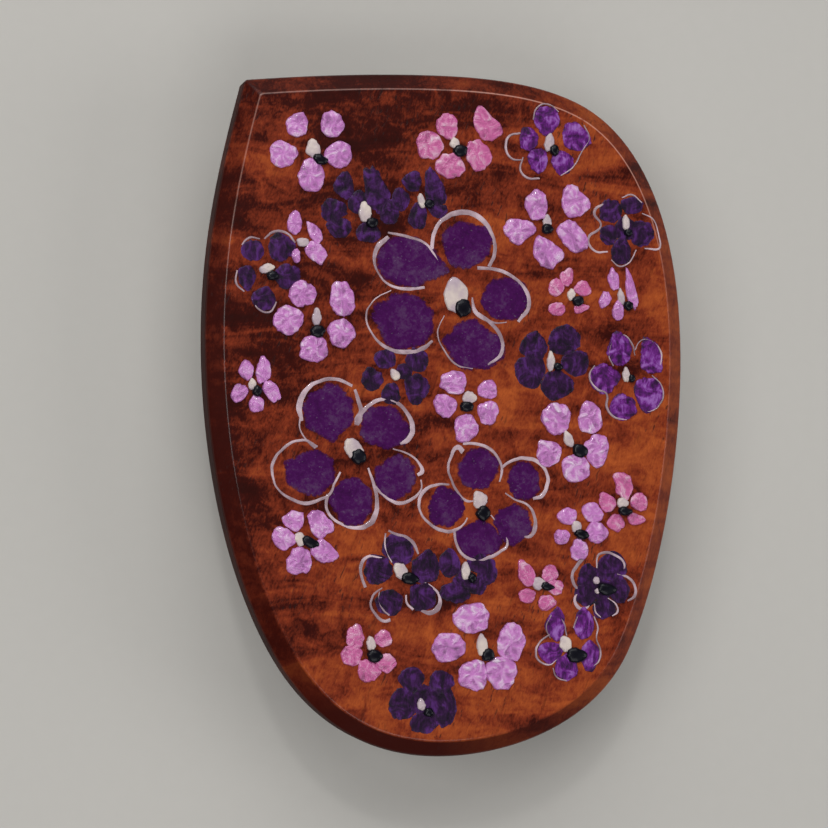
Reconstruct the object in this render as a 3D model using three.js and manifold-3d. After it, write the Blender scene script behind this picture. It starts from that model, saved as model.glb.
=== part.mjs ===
// Hair barrette: a bevelled wooden plate carried on a sprung steel French clip.
//
// Millimetres, +Z up. The barrette lies on its clip with the show face of the plate up. +Y runs along the
// plate and the clip, from the latch to the hinge. The origin is under the middle of the plate's outline,
// level with the lowest point of the clip.

import * as THREE from 'three';
import { mergeVertices } from 'three/addons/utils/BufferGeometryUtils.js';
import Module from 'manifold-3d';

const wasm = await Module();
wasm.setup();

// ---- Driving dimensions ----

// Wooden plate
const PLATE_LENGTH = 76;
const PLATE_WIDTH = 55;
const PLATE_THICKNESS = 4.8;
const BEVEL_WIDTH = 1.9;
const BEVEL_DEPTH = 1.4;

// Clip as a whole
const CLIP_LENGTH = 60; // base bar, end to end
const CLIP_OFFSET = 2; // middle of the bar, above the middle of the plate, under its balance point
const CLIP_HEIGHT = 10; // back of the plate to the lowest point of the arm

// Base bar, with hinge ears folded down from its sides
const BAR_THICKNESS = 0.8;
const BAR_CORNER = 1.5;
const EAR_WALL = 1; // around the pin
const EAR_FOOT = 2.2; // half the length of an ear where it leaves the bar

// Glue between the bar and the plate
const BED_THICKNESS = 0.4;
const BED_MARGIN = 0.6; // how far the glue stands out beyond the bar

// Hinge
const PIN_RADIUS = 0.7;
const PIN_HEAD_RIM = 0.5; // head beyond the shank, all round
const PIN_HEAD_THICKNESS = 0.4;
const PIN_INSET = 4; // end of the bar to the pin
const KNUCKLE_WIDTH = 3; // the arm's knuckle, between the bow's two

// Clasp arm
const ARM_WIDTH = 7;
const ARM_THICKNESS = 0.7;
const ARM_END_DROP = 3.9; // underside of the bar to the middle of the arm at the latch
const ARM_END_BEND = 3; // radius of the bend that levels the arm for the latch
const ARM_OVERHANG = 1.2; // arm beyond the end of the bar
const ARM_CURL_START = 165; // degrees, where the rolled end of the arm stops short of the strip

// Tension bow
const BOW_SETBACK = 0.3; // how far inside the arm's edges the bow's edges lie
const BOW_THICKNESS = 0.5;
const BOW_RADIUS = 150;
const BOW_CURL_START = 195; // degrees

// Latch
const WEB_LENGTH = 6.8;
const WEB_WIDTH = 4.4;
const WEB_THICKNESS = 0.5;
const WEB_INSET = 1; // end of the bar to the web
const PRONG_LENGTH_ALONG = 3; // along the clip
const PRONG_THICKNESS = 0.5;
const PRONG_INSET = 3; // end of the bar to the middle of the prongs
const PRONG_REACH = 2.2; // prong tip beyond the outer face of the arm
const BARB_REACH = 0.45;
const BARB_LENGTH = 1.3;
const RIVET_RADIUS = 0.7;
const RIVET_HEAD_RIM = 0.5;
const RIVET_HEAD_THICKNESS = 0.3;
const RIVET_INSET = 6.2; // end of the bar to the rivet
const WINDOW_WIDTH = 4.6;

// Screws
const SCREW_RADIUS = 0.8;
const SCREW_HEAD_RIM = 0.8;
const SCREW_HEAD_HEIGHT = 0.5;
const SCREW_DEPTH = 3; // into the wood
const SCREW_POINT = 0.9; // length of the tapered point
const SCREW_SLOT_WIDTH = 0.4;
const SCREW_SLOT_DEPTH = 0.25;
const SCREW_INSET = 12; // each end of the bar to its screw

// Clearances
const FIXED_FIT = 0.05; // radial or flat, between pieces that don't move
const RUNNING_FIT = 0.15; // radial, around the pin
const SIDE_GAP = 0.25; // beside a moving strip
const END_GAP = 0.5; // window to prongs, along the clip
const REST_GAP = 0.3; // free end of the bow under the bar
const KNUCKLE_RELIEF = 0.45; // the bar and the strips' edges clear of the knuckles
const BOW_END_GAP = 0.9; // head of the latch end screw to the free end of the bow
const LATCH_GAP = 0.15; // arm to barbs
const ROOT_GAP = 0.06; // web to prong roots

// ---- Sizes, levels and stations that follow from them ----

const BAR_WIDTH = ARM_WIDTH + 2 * (SIDE_GAP + BAR_THICKNESS);
const BOW_WIDTH = ARM_WIDTH - 2 * BOW_SETBACK;
const EAR_RADIUS = PIN_RADIUS + EAR_WALL;
const PIN_HEAD_RADIUS = PIN_RADIUS + PIN_HEAD_RIM;
const RIVET_HEAD_RADIUS = RIVET_RADIUS + RIVET_HEAD_RIM;
const SCREW_HEAD_RADIUS = SCREW_RADIUS + SCREW_HEAD_RIM;
const KNUCKLE_BORE = PIN_RADIUS + RUNNING_FIT;
const ARM_KNUCKLE_RADIUS = KNUCKLE_BORE + ARM_THICKNESS;
const BOW_KNUCKLE_RADIUS = KNUCKLE_BORE + BOW_THICKNESS;

const PLATE_BACK = CLIP_HEIGHT;
const BAR_TOP = PLATE_BACK - BED_THICKNESS;
const BAR_UNDERSIDE = BAR_TOP - BAR_THICKNESS;
const PIN_LEVEL = BAR_UNDERSIDE - ARM_KNUCKLE_RADIUS - KNUCKLE_RELIEF;
const WEB_UNDERSIDE = BAR_UNDERSIDE - WEB_THICKNESS;
const ARM_END_LEVEL = BAR_UNDERSIDE - ARM_END_DROP;

const HINGE_END = CLIP_OFFSET + CLIP_LENGTH / 2;
const LATCH_END = CLIP_OFFSET - CLIP_LENGTH / 2;
const PIN_STATION = HINGE_END - PIN_INSET;
const PRONG_STATION = LATCH_END + PRONG_INSET;
const RIVET_STATION = LATCH_END + RIVET_INSET;
const HINGE_SCREW_STATION = HINGE_END - SCREW_INSET;
const LATCH_SCREW_STATION = LATCH_END + SCREW_INSET;
const BOW_END_STATION = LATCH_SCREW_STATION + SCREW_HEAD_RADIUS + BOW_END_GAP;

const BARB_OUTSIDE = WINDOW_WIDTH / 2 - SIDE_GAP;
const PRONG_MIDDLE = BARB_OUTSIDE - BARB_REACH - PRONG_THICKNESS / 2;
const PRONG_ROOT_LEVEL = WEB_UNDERSIDE - ROOT_GAP - PRONG_THICKNESS / 2;

// Faces per curve
const OUTLINE_STEPS = 12;
const STRIP_STEPS = 12;
const ROUND_STEPS = 24;

const RIGHT_ANGLE = Math.PI / 2;

// ---- Materials ----

const WOOD = new THREE.MeshStandardMaterial({ color: 0x7c3818, roughness: 0.3, metalness: 0 });
const PLATED_STEEL = new THREE.MeshStandardMaterial({ color: 0xc4c4c6, roughness: 0.3, metalness: 1 });
const SPRING_STEEL = new THREE.MeshStandardMaterial({ color: 0xa9aaad, roughness: 0.35, metalness: 1 });
const BRASS = new THREE.MeshStandardMaterial({ color: 0xb98f45, roughness: 0.35, metalness: 1 });
const EPOXY = new THREE.MeshStandardMaterial({ color: 0xcdbf94, roughness: 0.2, metalness: 0 });

// ---- Solids ----

// A closed geometry as a solid that can be joined and cut.
function solidOf(geometry) {
  const bare = geometry.clone();
  bare.deleteAttribute('normal');
  bare.deleteAttribute('uv');
  const merged = mergeVertices(bare);
  return new wasm.Manifold(
    new wasm.Mesh({
      numProp: 3,
      vertProperties: merged.attributes.position.array,
      triVerts: new Uint32Array(merged.index.array),
    }),
  );
}

function geometryOf(solid) {
  const { vertProperties, triVerts } = solid.getMesh();
  const geometry = new THREE.BufferGeometry();
  geometry.setAttribute('position', new THREE.BufferAttribute(new Float32Array(vertProperties), 3));
  geometry.setIndex(new THREE.BufferAttribute(new Uint32Array(triVerts), 1));
  const faceted = geometry.toNonIndexed();
  faceted.computeVertexNormals();
  return faceted;
}

function cut(geometry, ...tools) {
  const left = tools.reduce((solid, tool) => solid.subtract(solidOf(tool)), solidOf(geometry));
  return geometryOf(left);
}

function join(geometry, ...others) {
  const whole = others.reduce((solid, other) => solid.add(solidOf(other)), solidOf(geometry));
  return geometryOf(whole);
}

function common(geometry, other) {
  return geometryOf(solidOf(geometry).intersect(solidOf(other)));
}

// A shape drawn in plan, given thickness from one level up to another.
function slab(shape, low, high) {
  const geometry = new THREE.ExtrudeGeometry(shape, {
    depth: high - low,
    bevelEnabled: false,
    curveSegments: STRIP_STEPS,
  });
  return geometry.translate(0, 0, low);
}

// A shape drawn in side view (across the page +Y, up the page +Z), given width from one x to another.
function acrossClip(shape, left, right) {
  const geometry = slab(shape, left, right);
  const alongY = new THREE.Vector3(0, 1, 0);
  const alongZ = new THREE.Vector3(0, 0, 1);
  const alongX = new THREE.Vector3(1, 0, 0);
  return geometry.applyMatrix4(new THREE.Matrix4().makeBasis(alongY, alongZ, alongX));
}

// A turned solid on the Z axis. The profile is a list of [radius, level] from the bottom of the axis up.
function turned(profile) {
  const points = profile.map(([radius, level]) => new THREE.Vector2(radius, level));
  return new THREE.LatheGeometry(points, ROUND_STEPS).rotateX(RIGHT_ANGLE);
}

function box(width, length, height, x, y, z) {
  return new THREE.BoxGeometry(width, length, height).translate(x, y, z);
}

function roundHole(shape, x, y, radius) {
  const hole = new THREE.Path();
  hole.absarc(x, y, radius, 0, 2 * Math.PI, true);
  shape.holes.push(hole);
}

function roundedRectangle(width, low, high, corner) {
  const side = width / 2;
  const shape = new THREE.Shape();
  shape.moveTo(side, low + corner);
  shape.absarc(side - corner, high - corner, corner, 0, RIGHT_ANGLE);
  shape.absarc(corner - side, high - corner, corner, RIGHT_ANGLE, Math.PI);
  shape.absarc(corner - side, low + corner, corner, Math.PI, 3 * RIGHT_ANGLE);
  shape.absarc(side - corner, low + corner, corner, 3 * RIGHT_ANGLE, 4 * RIGHT_ANGLE);
  return shape;
}

// The side view of a bent strip: each bend of its middle line is { y, z, radius, from, to, clockwise }, and
// each bend starts where the one before it ends, in the same direction.
function bentStrip(bends, thickness, finish) {
  const half = thickness / 2;
  const shape = new THREE.Shape();
  for (const { y, z, radius, from, to, clockwise } of bends) {
    shape.absarc(y, z, radius + (clockwise ? half : -half), from, to, clockwise);
  }
  finish(shape);
  for (const { y, z, radius, from, to, clockwise } of bends.slice().reverse()) {
    shape.absarc(y, z, radius + (clockwise ? -half : half), to, from, !clockwise);
  }
  return shape;
}

// ---- Wooden plate ----

// The outline in shares of the half width and half length, clockwise from the top: two handles and an end
// for each curve. The last two curves meet in the crisp top left corner.
const OUTLINE_TOP = [-0.02, 1];
const OUTLINE_CURVES = [
  [[0.2, 1], [0.38, 0.985], [0.52, 0.945]],
  [[0.8, 0.87], [1, 0.62], [1, 0.18]],
  [[1, -0.15], [0.9, -0.5], [0.76, -0.71]],
  [[0.62, -0.91], [0.28, -1], [-0.02, -1]],
  [[-0.31, -1], [-0.54, -0.91], [-0.7, -0.72]],
  [[-0.9, -0.48], [-1, -0.12], [-1, 0.22]],
  [[-1, 0.5], [-0.93, 0.72], [-0.842, 0.962]],
  [[-0.5, 0.99], [-0.24, 1], OUTLINE_TOP],
];

function plateOutline() {
  const place = ([across, along]) => [(across * PLATE_WIDTH) / 2, (along * PLATE_LENGTH) / 2];
  const shape = new THREE.Shape();
  shape.moveTo(...place(OUTLINE_TOP));
  for (const curve of OUTLINE_CURVES) {
    shape.bezierCurveTo(...curve.flatMap(place));
  }
  return shape;
}

function pilotHole(station) {
  const depth = SCREW_DEPTH + FIXED_FIT;
  const radius = SCREW_RADIUS + FIXED_FIT;
  const hole = new THREE.CylinderGeometry(radius, radius, 2 * depth, ROUND_STEPS);
  return hole.rotateX(RIGHT_ANGLE).translate(0, station, PLATE_BACK);
}

function woodPlate() {
  const wall = PLATE_THICKNESS - BEVEL_DEPTH;
  const blank = new THREE.ExtrudeGeometry(plateOutline(), {
    depth: 2 * wall,
    curveSegments: OUTLINE_STEPS,
    bevelThickness: BEVEL_DEPTH,
    bevelSize: BEVEL_WIDTH,
    bevelOffset: -BEVEL_WIDTH,
    bevelSegments: 1,
  }).translate(0, 0, PLATE_BACK - wall);
  const depth = 2 * PLATE_THICKNESS;
  const behind = box(2 * PLATE_WIDTH, 2 * PLATE_LENGTH, depth, 0, 0, PLATE_BACK - PLATE_THICKNESS);
  return cut(blank, behind, pilotHole(HINGE_SCREW_STATION), pilotHole(LATCH_SCREW_STATION));
}

// ---- Glue bed and base bar ----

function epoxyBed() {
  const width = BAR_WIDTH + 2 * BED_MARGIN;
  const low = LATCH_END - BED_MARGIN;
  const high = HINGE_END + BED_MARGIN;
  const outline = roundedRectangle(width, low, high, BAR_CORNER + BED_MARGIN);
  roundHole(outline, 0, HINGE_SCREW_STATION, SCREW_RADIUS + FIXED_FIT);
  roundHole(outline, 0, LATCH_SCREW_STATION, SCREW_RADIUS + FIXED_FIT);
  roundHole(outline, 0, RIVET_STATION, RIVET_HEAD_RADIUS + FIXED_FIT);
  return slab(outline, BAR_TOP, PLATE_BACK);
}

function hingeEar(left) {
  const shape = new THREE.Shape();
  shape.moveTo(PIN_STATION + EAR_FOOT, BAR_UNDERSIDE + BAR_THICKNESS / 2);
  shape.lineTo(PIN_STATION - EAR_FOOT, BAR_UNDERSIDE + BAR_THICKNESS / 2);
  shape.lineTo(PIN_STATION - EAR_FOOT, BAR_UNDERSIDE);
  shape.absarc(PIN_STATION, PIN_LEVEL, EAR_RADIUS, Math.PI, 2 * Math.PI);
  shape.lineTo(PIN_STATION + EAR_FOOT, BAR_UNDERSIDE);
  roundHole(shape, PIN_STATION, PIN_LEVEL, PIN_RADIUS + FIXED_FIT);
  return acrossClip(shape, left, left + BAR_THICKNESS);
}

function baseBar() {
  const outline = roundedRectangle(BAR_WIDTH, LATCH_END, HINGE_END, BAR_CORNER);
  roundHole(outline, 0, HINGE_SCREW_STATION, SCREW_RADIUS + FIXED_FIT);
  roundHole(outline, 0, LATCH_SCREW_STATION, SCREW_RADIUS + FIXED_FIT);
  roundHole(outline, 0, RIVET_STATION, RIVET_RADIUS + FIXED_FIT);
  const strip = slab(outline, BAR_UNDERSIDE, BAR_TOP);
  return join(strip, hingeEar(-BAR_WIDTH / 2), hingeEar(BAR_WIDTH / 2 - BAR_THICKNESS));
}

function plateScrew(station) {
  const headTop = BAR_UNDERSIDE - FIXED_FIT;
  const headBottom = headTop - SCREW_HEAD_HEIGHT;
  const tip = PLATE_BACK + SCREW_DEPTH;
  const body = turned([
    [0, headBottom],
    [SCREW_HEAD_RADIUS - SCREW_HEAD_HEIGHT, headBottom],
    [SCREW_HEAD_RADIUS, headTop - SCREW_HEAD_HEIGHT / 3],
    [SCREW_HEAD_RADIUS, headTop],
    [SCREW_RADIUS, headTop],
    [SCREW_RADIUS, tip - SCREW_POINT],
    [0, tip],
  ]);
  const slot = box(2 * SCREW_HEAD_RADIUS + 1, SCREW_SLOT_WIDTH, 2 * SCREW_SLOT_DEPTH, 0, 0, headBottom);
  return cut(body, slot).translate(0, station, 0);
}

// ---- Hinge ----

function hingePin() {
  const inner = BAR_WIDTH / 2 + FIXED_FIT;
  const outer = inner + PIN_HEAD_THICKNESS;
  const pin = turned([
    [0, -outer],
    [PIN_HEAD_RADIUS, -outer],
    [PIN_HEAD_RADIUS, -inner],
    [PIN_RADIUS, -inner],
    [PIN_RADIUS, inner],
    [PIN_HEAD_RADIUS, inner],
    [PIN_HEAD_RADIUS, outer],
    [0, outer],
  ]);
  return pin.rotateY(RIGHT_ANGLE).translate(0, PIN_STATION, PIN_LEVEL);
}

// ---- Clasp arm ----

// The arm rolls over the pin, sweeps down in one arc that is lowest in the middle of the clip, and is bent
// level again for the latch.
function armSideView() {
  const curl = ARM_KNUCKLE_RADIUS - ARM_THICKNESS / 2;
  const reach = PIN_STATION - CLIP_OFFSET;
  const crown = ARM_THICKNESS / 2;
  const rise = PIN_LEVEL - crown;
  const sweep = (reach ** 2 + rise ** 2 - curl ** 2) / (2 * (rise - curl));
  const sweepLevel = crown + sweep;
  const bendLevel = ARM_END_LEVEL - ARM_END_BEND;
  const bendStation = CLIP_OFFSET - Math.sqrt((sweep + ARM_END_BEND) ** 2 - (sweepLevel - bendLevel) ** 2);
  const hingeAngle = Math.atan2(PIN_LEVEL - sweepLevel, PIN_STATION - CLIP_OFFSET);
  const latchAngle = Math.atan2(bendLevel - sweepLevel, bendStation - CLIP_OFFSET);
  const bends = [
    {
      y: PIN_STATION,
      z: PIN_LEVEL,
      radius: curl,
      from: THREE.MathUtils.degToRad(ARM_CURL_START),
      to: hingeAngle,
      clockwise: true,
    },
    {
      y: CLIP_OFFSET,
      z: sweepLevel,
      radius: sweep,
      from: hingeAngle,
      to: latchAngle,
      clockwise: true,
    },
    {
      y: bendStation,
      z: bendLevel,
      radius: ARM_END_BEND,
      from: latchAngle + Math.PI,
      to: RIGHT_ANGLE,
      clockwise: false,
    },
  ];
  return bentStrip(bends, ARM_THICKNESS, (shape) => {
    shape.lineTo(LATCH_END - ARM_OVERHANG, ARM_END_LEVEL - ARM_THICKNESS / 2);
    shape.lineTo(LATCH_END - ARM_OVERHANG, ARM_END_LEVEL + ARM_THICKNESS / 2);
  });
}

// In plan the arm narrows to its knuckle at the hinge. At the latch it is rounded and pierced by the window.
function armPlan() {
  const side = ARM_WIDTH / 2;
  const knuckle = KNUCKLE_WIDTH / 2;
  const shoulder = PIN_STATION - ARM_KNUCKLE_RADIUS - KNUCKLE_RELIEF;
  const shape = new THREE.Shape();
  shape.moveTo(knuckle, HINGE_END);
  shape.lineTo(-knuckle, HINGE_END);
  shape.lineTo(-knuckle, shoulder);
  shape.lineTo(-side, shoulder);
  shape.absarc(0, LATCH_END - ARM_OVERHANG + side, side, Math.PI, 2 * Math.PI);
  shape.lineTo(side, shoulder);
  shape.lineTo(knuckle, shoulder);
  const halfWindow = PRONG_LENGTH_ALONG / 2 + END_GAP;
  const window = new THREE.Path();
  window.moveTo(WINDOW_WIDTH / 2, PRONG_STATION - halfWindow);
  window.lineTo(-WINDOW_WIDTH / 2, PRONG_STATION - halfWindow);
  window.lineTo(-WINDOW_WIDTH / 2, PRONG_STATION + halfWindow);
  window.lineTo(WINDOW_WIDTH / 2, PRONG_STATION + halfWindow);
  shape.holes.push(window);
  return shape;
}

function claspArm() {
  const strip = acrossClip(armSideView(), -ARM_WIDTH, ARM_WIDTH);
  return common(strip, slab(armPlan(), -CLIP_HEIGHT, 2 * CLIP_HEIGHT));
}

// ---- Tension bow ----

// The middle of the arc of the given radius that touches the bow's curl and ends at the bow's free end.
function bowCentre(curl, endLevel) {
  const pin = new THREE.Vector2(PIN_STATION, PIN_LEVEL);
  const end = new THREE.Vector2(BOW_END_STATION, endLevel);
  const span = end.clone().sub(pin);
  const toPin = BOW_RADIUS + curl;
  const along = (toPin ** 2 - BOW_RADIUS ** 2 + span.lengthSq()) / (2 * span.length());
  const up = Math.sqrt(toPin ** 2 - along ** 2);
  const direction = span.normalize();
  const normal = new THREE.Vector2(direction.y, -direction.x);
  return pin.addScaledVector(direction, along).addScaledVector(normal, up);
}

// The bow rolls under the pin, leaves its top and arches away from the bar; its free end lies at the bar.
function bowSideView() {
  const curl = BOW_KNUCKLE_RADIUS - BOW_THICKNESS / 2;
  const endLevel = BAR_UNDERSIDE - REST_GAP - BOW_THICKNESS / 2;
  const centre = bowCentre(curl, endLevel);
  const hingeAngle = Math.atan2(PIN_LEVEL - centre.y, PIN_STATION - centre.x);
  const endAngle = Math.atan2(endLevel - centre.y, BOW_END_STATION - centre.x);
  const bends = [
    {
      y: PIN_STATION,
      z: PIN_LEVEL,
      radius: curl,
      from: THREE.MathUtils.degToRad(BOW_CURL_START),
      to: hingeAngle + Math.PI,
      clockwise: false,
    },
    {
      y: centre.x,
      z: centre.y,
      radius: BOW_RADIUS,
      from: hingeAngle,
      to: endAngle,
      clockwise: true,
    },
  ];
  return bentStrip(bends, BOW_THICKNESS, () => {});
}

// In plan the bow is slotted for the arm's knuckle and rounded at its free end.
function bowPlan() {
  const side = BOW_WIDTH / 2;
  const slot = KNUCKLE_WIDTH / 2 + SIDE_GAP;
  const slotEnd = PIN_STATION - ARM_KNUCKLE_RADIUS - KNUCKLE_RELIEF;
  const shape = new THREE.Shape();
  shape.moveTo(side, HINGE_END);
  shape.lineTo(slot, HINGE_END);
  shape.lineTo(slot, slotEnd);
  shape.lineTo(-slot, slotEnd);
  shape.lineTo(-slot, HINGE_END);
  shape.lineTo(-side, HINGE_END);
  shape.absarc(0, BOW_END_STATION + side, side, Math.PI, 2 * Math.PI);
  return shape;
}

function tensionBow() {
  const strip = acrossClip(bowSideView(), -BOW_WIDTH, BOW_WIDTH);
  return common(strip, slab(bowPlan(), 0, 2 * CLIP_HEIGHT));
}

// ---- Latch ----

function latchWeb() {
  const low = LATCH_END + WEB_INSET;
  const outline = roundedRectangle(WEB_WIDTH, low, low + WEB_LENGTH, WEB_INSET);
  roundHole(outline, 0, RIVET_STATION, RIVET_RADIUS + FIXED_FIT);
  return slab(outline, WEB_UNDERSIDE, BAR_UNDERSIDE);
}

function latchRivet() {
  const lowerFace = WEB_UNDERSIDE - FIXED_FIT;
  const rivet = turned([
    [0, lowerFace - RIVET_HEAD_THICKNESS],
    [RIVET_HEAD_RADIUS - RIVET_HEAD_THICKNESS, lowerFace - RIVET_HEAD_THICKNESS],
    [RIVET_HEAD_RADIUS, lowerFace],
    [RIVET_RADIUS, lowerFace],
    [RIVET_RADIUS, BAR_TOP + FIXED_FIT],
    [RIVET_HEAD_RADIUS, BAR_TOP + FIXED_FIT],
    [RIVET_HEAD_RADIUS, BAR_TOP + RIVET_HEAD_THICKNESS],
    [0, BAR_TOP + RIVET_HEAD_THICKNESS],
  ]);
  return rivet.translate(0, RIVET_STATION, 0);
}

// The right prong in end view (across the page +X, up the page +Z): a leg with a round root and tip and a
// barb that points outwards just beyond the arm.
function prongEndView() {
  const half = PRONG_THICKNESS / 2;
  const outside = PRONG_MIDDLE + half;
  const armFace = ARM_END_LEVEL - ARM_THICKNESS / 2;
  const shelf = armFace - LATCH_GAP;
  const shape = new THREE.Shape();
  shape.absarc(PRONG_MIDDLE, PRONG_ROOT_LEVEL, half, Math.PI, 0, true);
  shape.lineTo(outside, shelf);
  shape.lineTo(BARB_OUTSIDE, shelf);
  shape.lineTo(outside, shelf - BARB_LENGTH);
  shape.absarc(PRONG_MIDDLE, armFace - PRONG_REACH + half, half, 0, Math.PI, true);
  return shape;
}

// The right prong, or the left one as the same piece turned half way round.
function latchProng(turn) {
  const half = PRONG_LENGTH_ALONG / 2;
  const prong = slab(prongEndView(), -half, half).rotateX(RIGHT_ANGLE);
  return prong.rotateZ(turn).translate(0, PRONG_STATION, 0);
}

// ---- Assembly ----

function piece(name, geometry, material) {
  const mesh = new THREE.Mesh(geometry, material);
  mesh.name = name;
  return mesh;
}

const barrette = new THREE.Group();
barrette.add(
  piece('wood_plate', woodPlate(), WOOD),
  piece('epoxy_bed', epoxyBed(), EPOXY),
  piece('base_bar', baseBar(), PLATED_STEEL),
  piece('screw_hinge_end', plateScrew(HINGE_SCREW_STATION), BRASS),
  piece('screw_latch_end', plateScrew(LATCH_SCREW_STATION), BRASS),
  piece('hinge_pin', hingePin(), PLATED_STEEL),
  piece('clasp_arm', claspArm(), PLATED_STEEL),
  piece('tension_bow', tensionBow(), SPRING_STEEL),
  piece('latch_web', latchWeb(), PLATED_STEEL),
  piece('latch_rivet', latchRivet(), PLATED_STEEL),
  piece('latch_prong_left', latchProng(Math.PI), SPRING_STEEL),
  piece('latch_prong_right', latchProng(0), SPRING_STEEL),
);

export default barrette;
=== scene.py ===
"""The finished looks of a painted wooden barrette, built round the frame of its working parts."""

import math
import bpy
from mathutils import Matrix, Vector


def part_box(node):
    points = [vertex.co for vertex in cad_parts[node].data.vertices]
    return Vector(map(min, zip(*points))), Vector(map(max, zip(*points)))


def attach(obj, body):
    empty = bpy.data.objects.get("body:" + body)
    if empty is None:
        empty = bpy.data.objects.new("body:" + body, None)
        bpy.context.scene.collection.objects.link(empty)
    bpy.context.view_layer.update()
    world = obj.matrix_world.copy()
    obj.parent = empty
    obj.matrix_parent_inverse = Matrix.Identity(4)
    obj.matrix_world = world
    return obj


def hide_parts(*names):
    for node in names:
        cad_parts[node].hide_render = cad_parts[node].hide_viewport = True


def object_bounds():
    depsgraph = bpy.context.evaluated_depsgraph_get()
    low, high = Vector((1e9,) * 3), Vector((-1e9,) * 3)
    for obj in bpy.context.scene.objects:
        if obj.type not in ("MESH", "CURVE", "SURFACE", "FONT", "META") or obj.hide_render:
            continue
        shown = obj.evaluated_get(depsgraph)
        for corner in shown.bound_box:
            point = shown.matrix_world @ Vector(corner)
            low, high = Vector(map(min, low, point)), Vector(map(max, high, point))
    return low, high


bl_info = {
    "name": "Painted wooden barrette",
    "version": (1, 0, 0),
    "blender": (4, 5, 0),
    "location": "View3D > Sidebar > Barrette",
    "description": "Builds a lacquered, hand-painted wooden hair barrette round its working frame",
    "category": "Add Mesh",
}

import bmesh
import bpy
from bpy.props import FloatProperty, FloatVectorProperty, IntProperty, PointerProperty
from mathutils import Matrix, Vector, noise
from mathutils.bvhtree import BVHTree
from mathutils.geometry import interpolate_bezier

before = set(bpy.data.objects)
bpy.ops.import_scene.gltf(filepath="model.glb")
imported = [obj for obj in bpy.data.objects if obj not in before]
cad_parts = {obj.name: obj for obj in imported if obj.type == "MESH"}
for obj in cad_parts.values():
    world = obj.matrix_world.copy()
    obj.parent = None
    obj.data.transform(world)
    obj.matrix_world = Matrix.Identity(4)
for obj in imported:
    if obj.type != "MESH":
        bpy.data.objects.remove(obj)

MM = 0.001
CAD_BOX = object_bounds()
PLATE_LOW, PLATE_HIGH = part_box("wood_plate")
FACE_LEVEL = PLATE_HIGH.z
HALF_WIDTH = (PLATE_HIGH.x - PLATE_LOW.x) / 2
HALF_LENGTH = (PLATE_HIGH.y - PLATE_LOW.y) / 2


def tint(red, green, blue):
    """A display colour, 0 to 255, as the linear colour that shaders work in."""
    linear = []
    for channel in (red, green, blue):
        share = channel / 255
        linear.append(share / 12.92 if share <= 0.04045 else ((share + 0.055) / 1.055) ** 2.4)
    return (*linear, 1.0)


# ---- What a user may change ----


def length_property(name, description, default):
    kind = {"subtype": "DISTANCE", "unit": "LENGTH"}
    return FloatProperty(name=name, description=description, default=default, min=0, **kind)


def angle_property(name, description, degrees):
    return FloatProperty(
        name=name, description=description, default=math.radians(degrees), subtype="ANGLE"
    )


def power_property(name, description, default):
    return FloatProperty(name=name, description=description, default=default, min=0, unit="POWER")


def share_property(name, description, default):
    return FloatProperty(
        name=name, description=description, default=default, min=0, max=1, subtype="FACTOR"
    )


def colour_property(name, description, default):
    return FloatVectorProperty(
        name=name, description=description, default=default, size=4, min=0, max=1, subtype="COLOR"
    )


class BarretteWood(bpy.types.PropertyGroup):
    bevel_width: length_property("Bevel width", "Width of the slope round the face", 1.9 * MM)
    bevel_depth: length_property("Bevel depth", "How far the slope falls below the face", 1.4 * MM)
    corner_radius: length_property("Corner radius", "Rounding of the one crisp corner", 0.3 * MM)
    arris_radius: length_property("Arris radius", "Rounding of the face's edge", 0.1 * MM)
    edge_radius: length_property("Edge radius", "Rounding of the wall's two edges", 0.3 * MM)
    amber: colour_property("Amber", "Lightest bands of the figured wood", tint(186, 90, 40))
    russet: colour_property("Russet", "Middle tone of the wood", tint(130, 49, 25))
    umber: colour_property("Umber", "Darkest bands of the wood", tint(60, 10, 3))
    lacquer: share_property("Lacquer", "Weight of the clear coat", 0.4)


class BarrettePaint(bpy.types.PropertyGroup):
    orchid: colour_property("Orchid", "Body of the thick pale petals", tint(206, 128, 201))
    pink: colour_property("Pink", "Body of the thick pink petals", tint(208, 103, 161))
    violet: colour_property("Violet", "The large outlined petals", tint(70, 13, 80))
    plum: colour_property("Plum", "The small dark petals", tint(54, 18, 66))
    iris: colour_property("Iris", "The mid violet petals", tint(112, 34, 132))
    cream: colour_property("Cream", "The light dab at each flower's heart", tint(224, 208, 198))
    ink: colour_property("Ink", "The dark dab beside it", tint(12, 11, 20))
    outline: colour_property("Outline", "Brush lines round the petals", tint(205, 172, 184))
    ridge: share_property("Ridge", "Height of brush ridges, as a share of the paint's", 0.35)
    facets: IntProperty(
        name="Facets", description="Sides of a dab of paint", default=30, min=12, max=64
    )


class BarretteMetal(bpy.types.PropertyGroup):
    edge_round: length_property("Edge round", "Rounding of the stamped metal's edges", 0.09 * MM)
    plate_tone: colour_property("Plating", "Colour of the plated steel", tint(206, 204, 200))
    spring_tone: colour_property("Spring", "Colour of the spring steel", tint(176, 178, 182))
    brass_tone: colour_property("Brass", "Colour of the screws", tint(214, 178, 106))
    glue_tone: colour_property("Glue", "Colour of the epoxy", tint(196, 178, 140))


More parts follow.
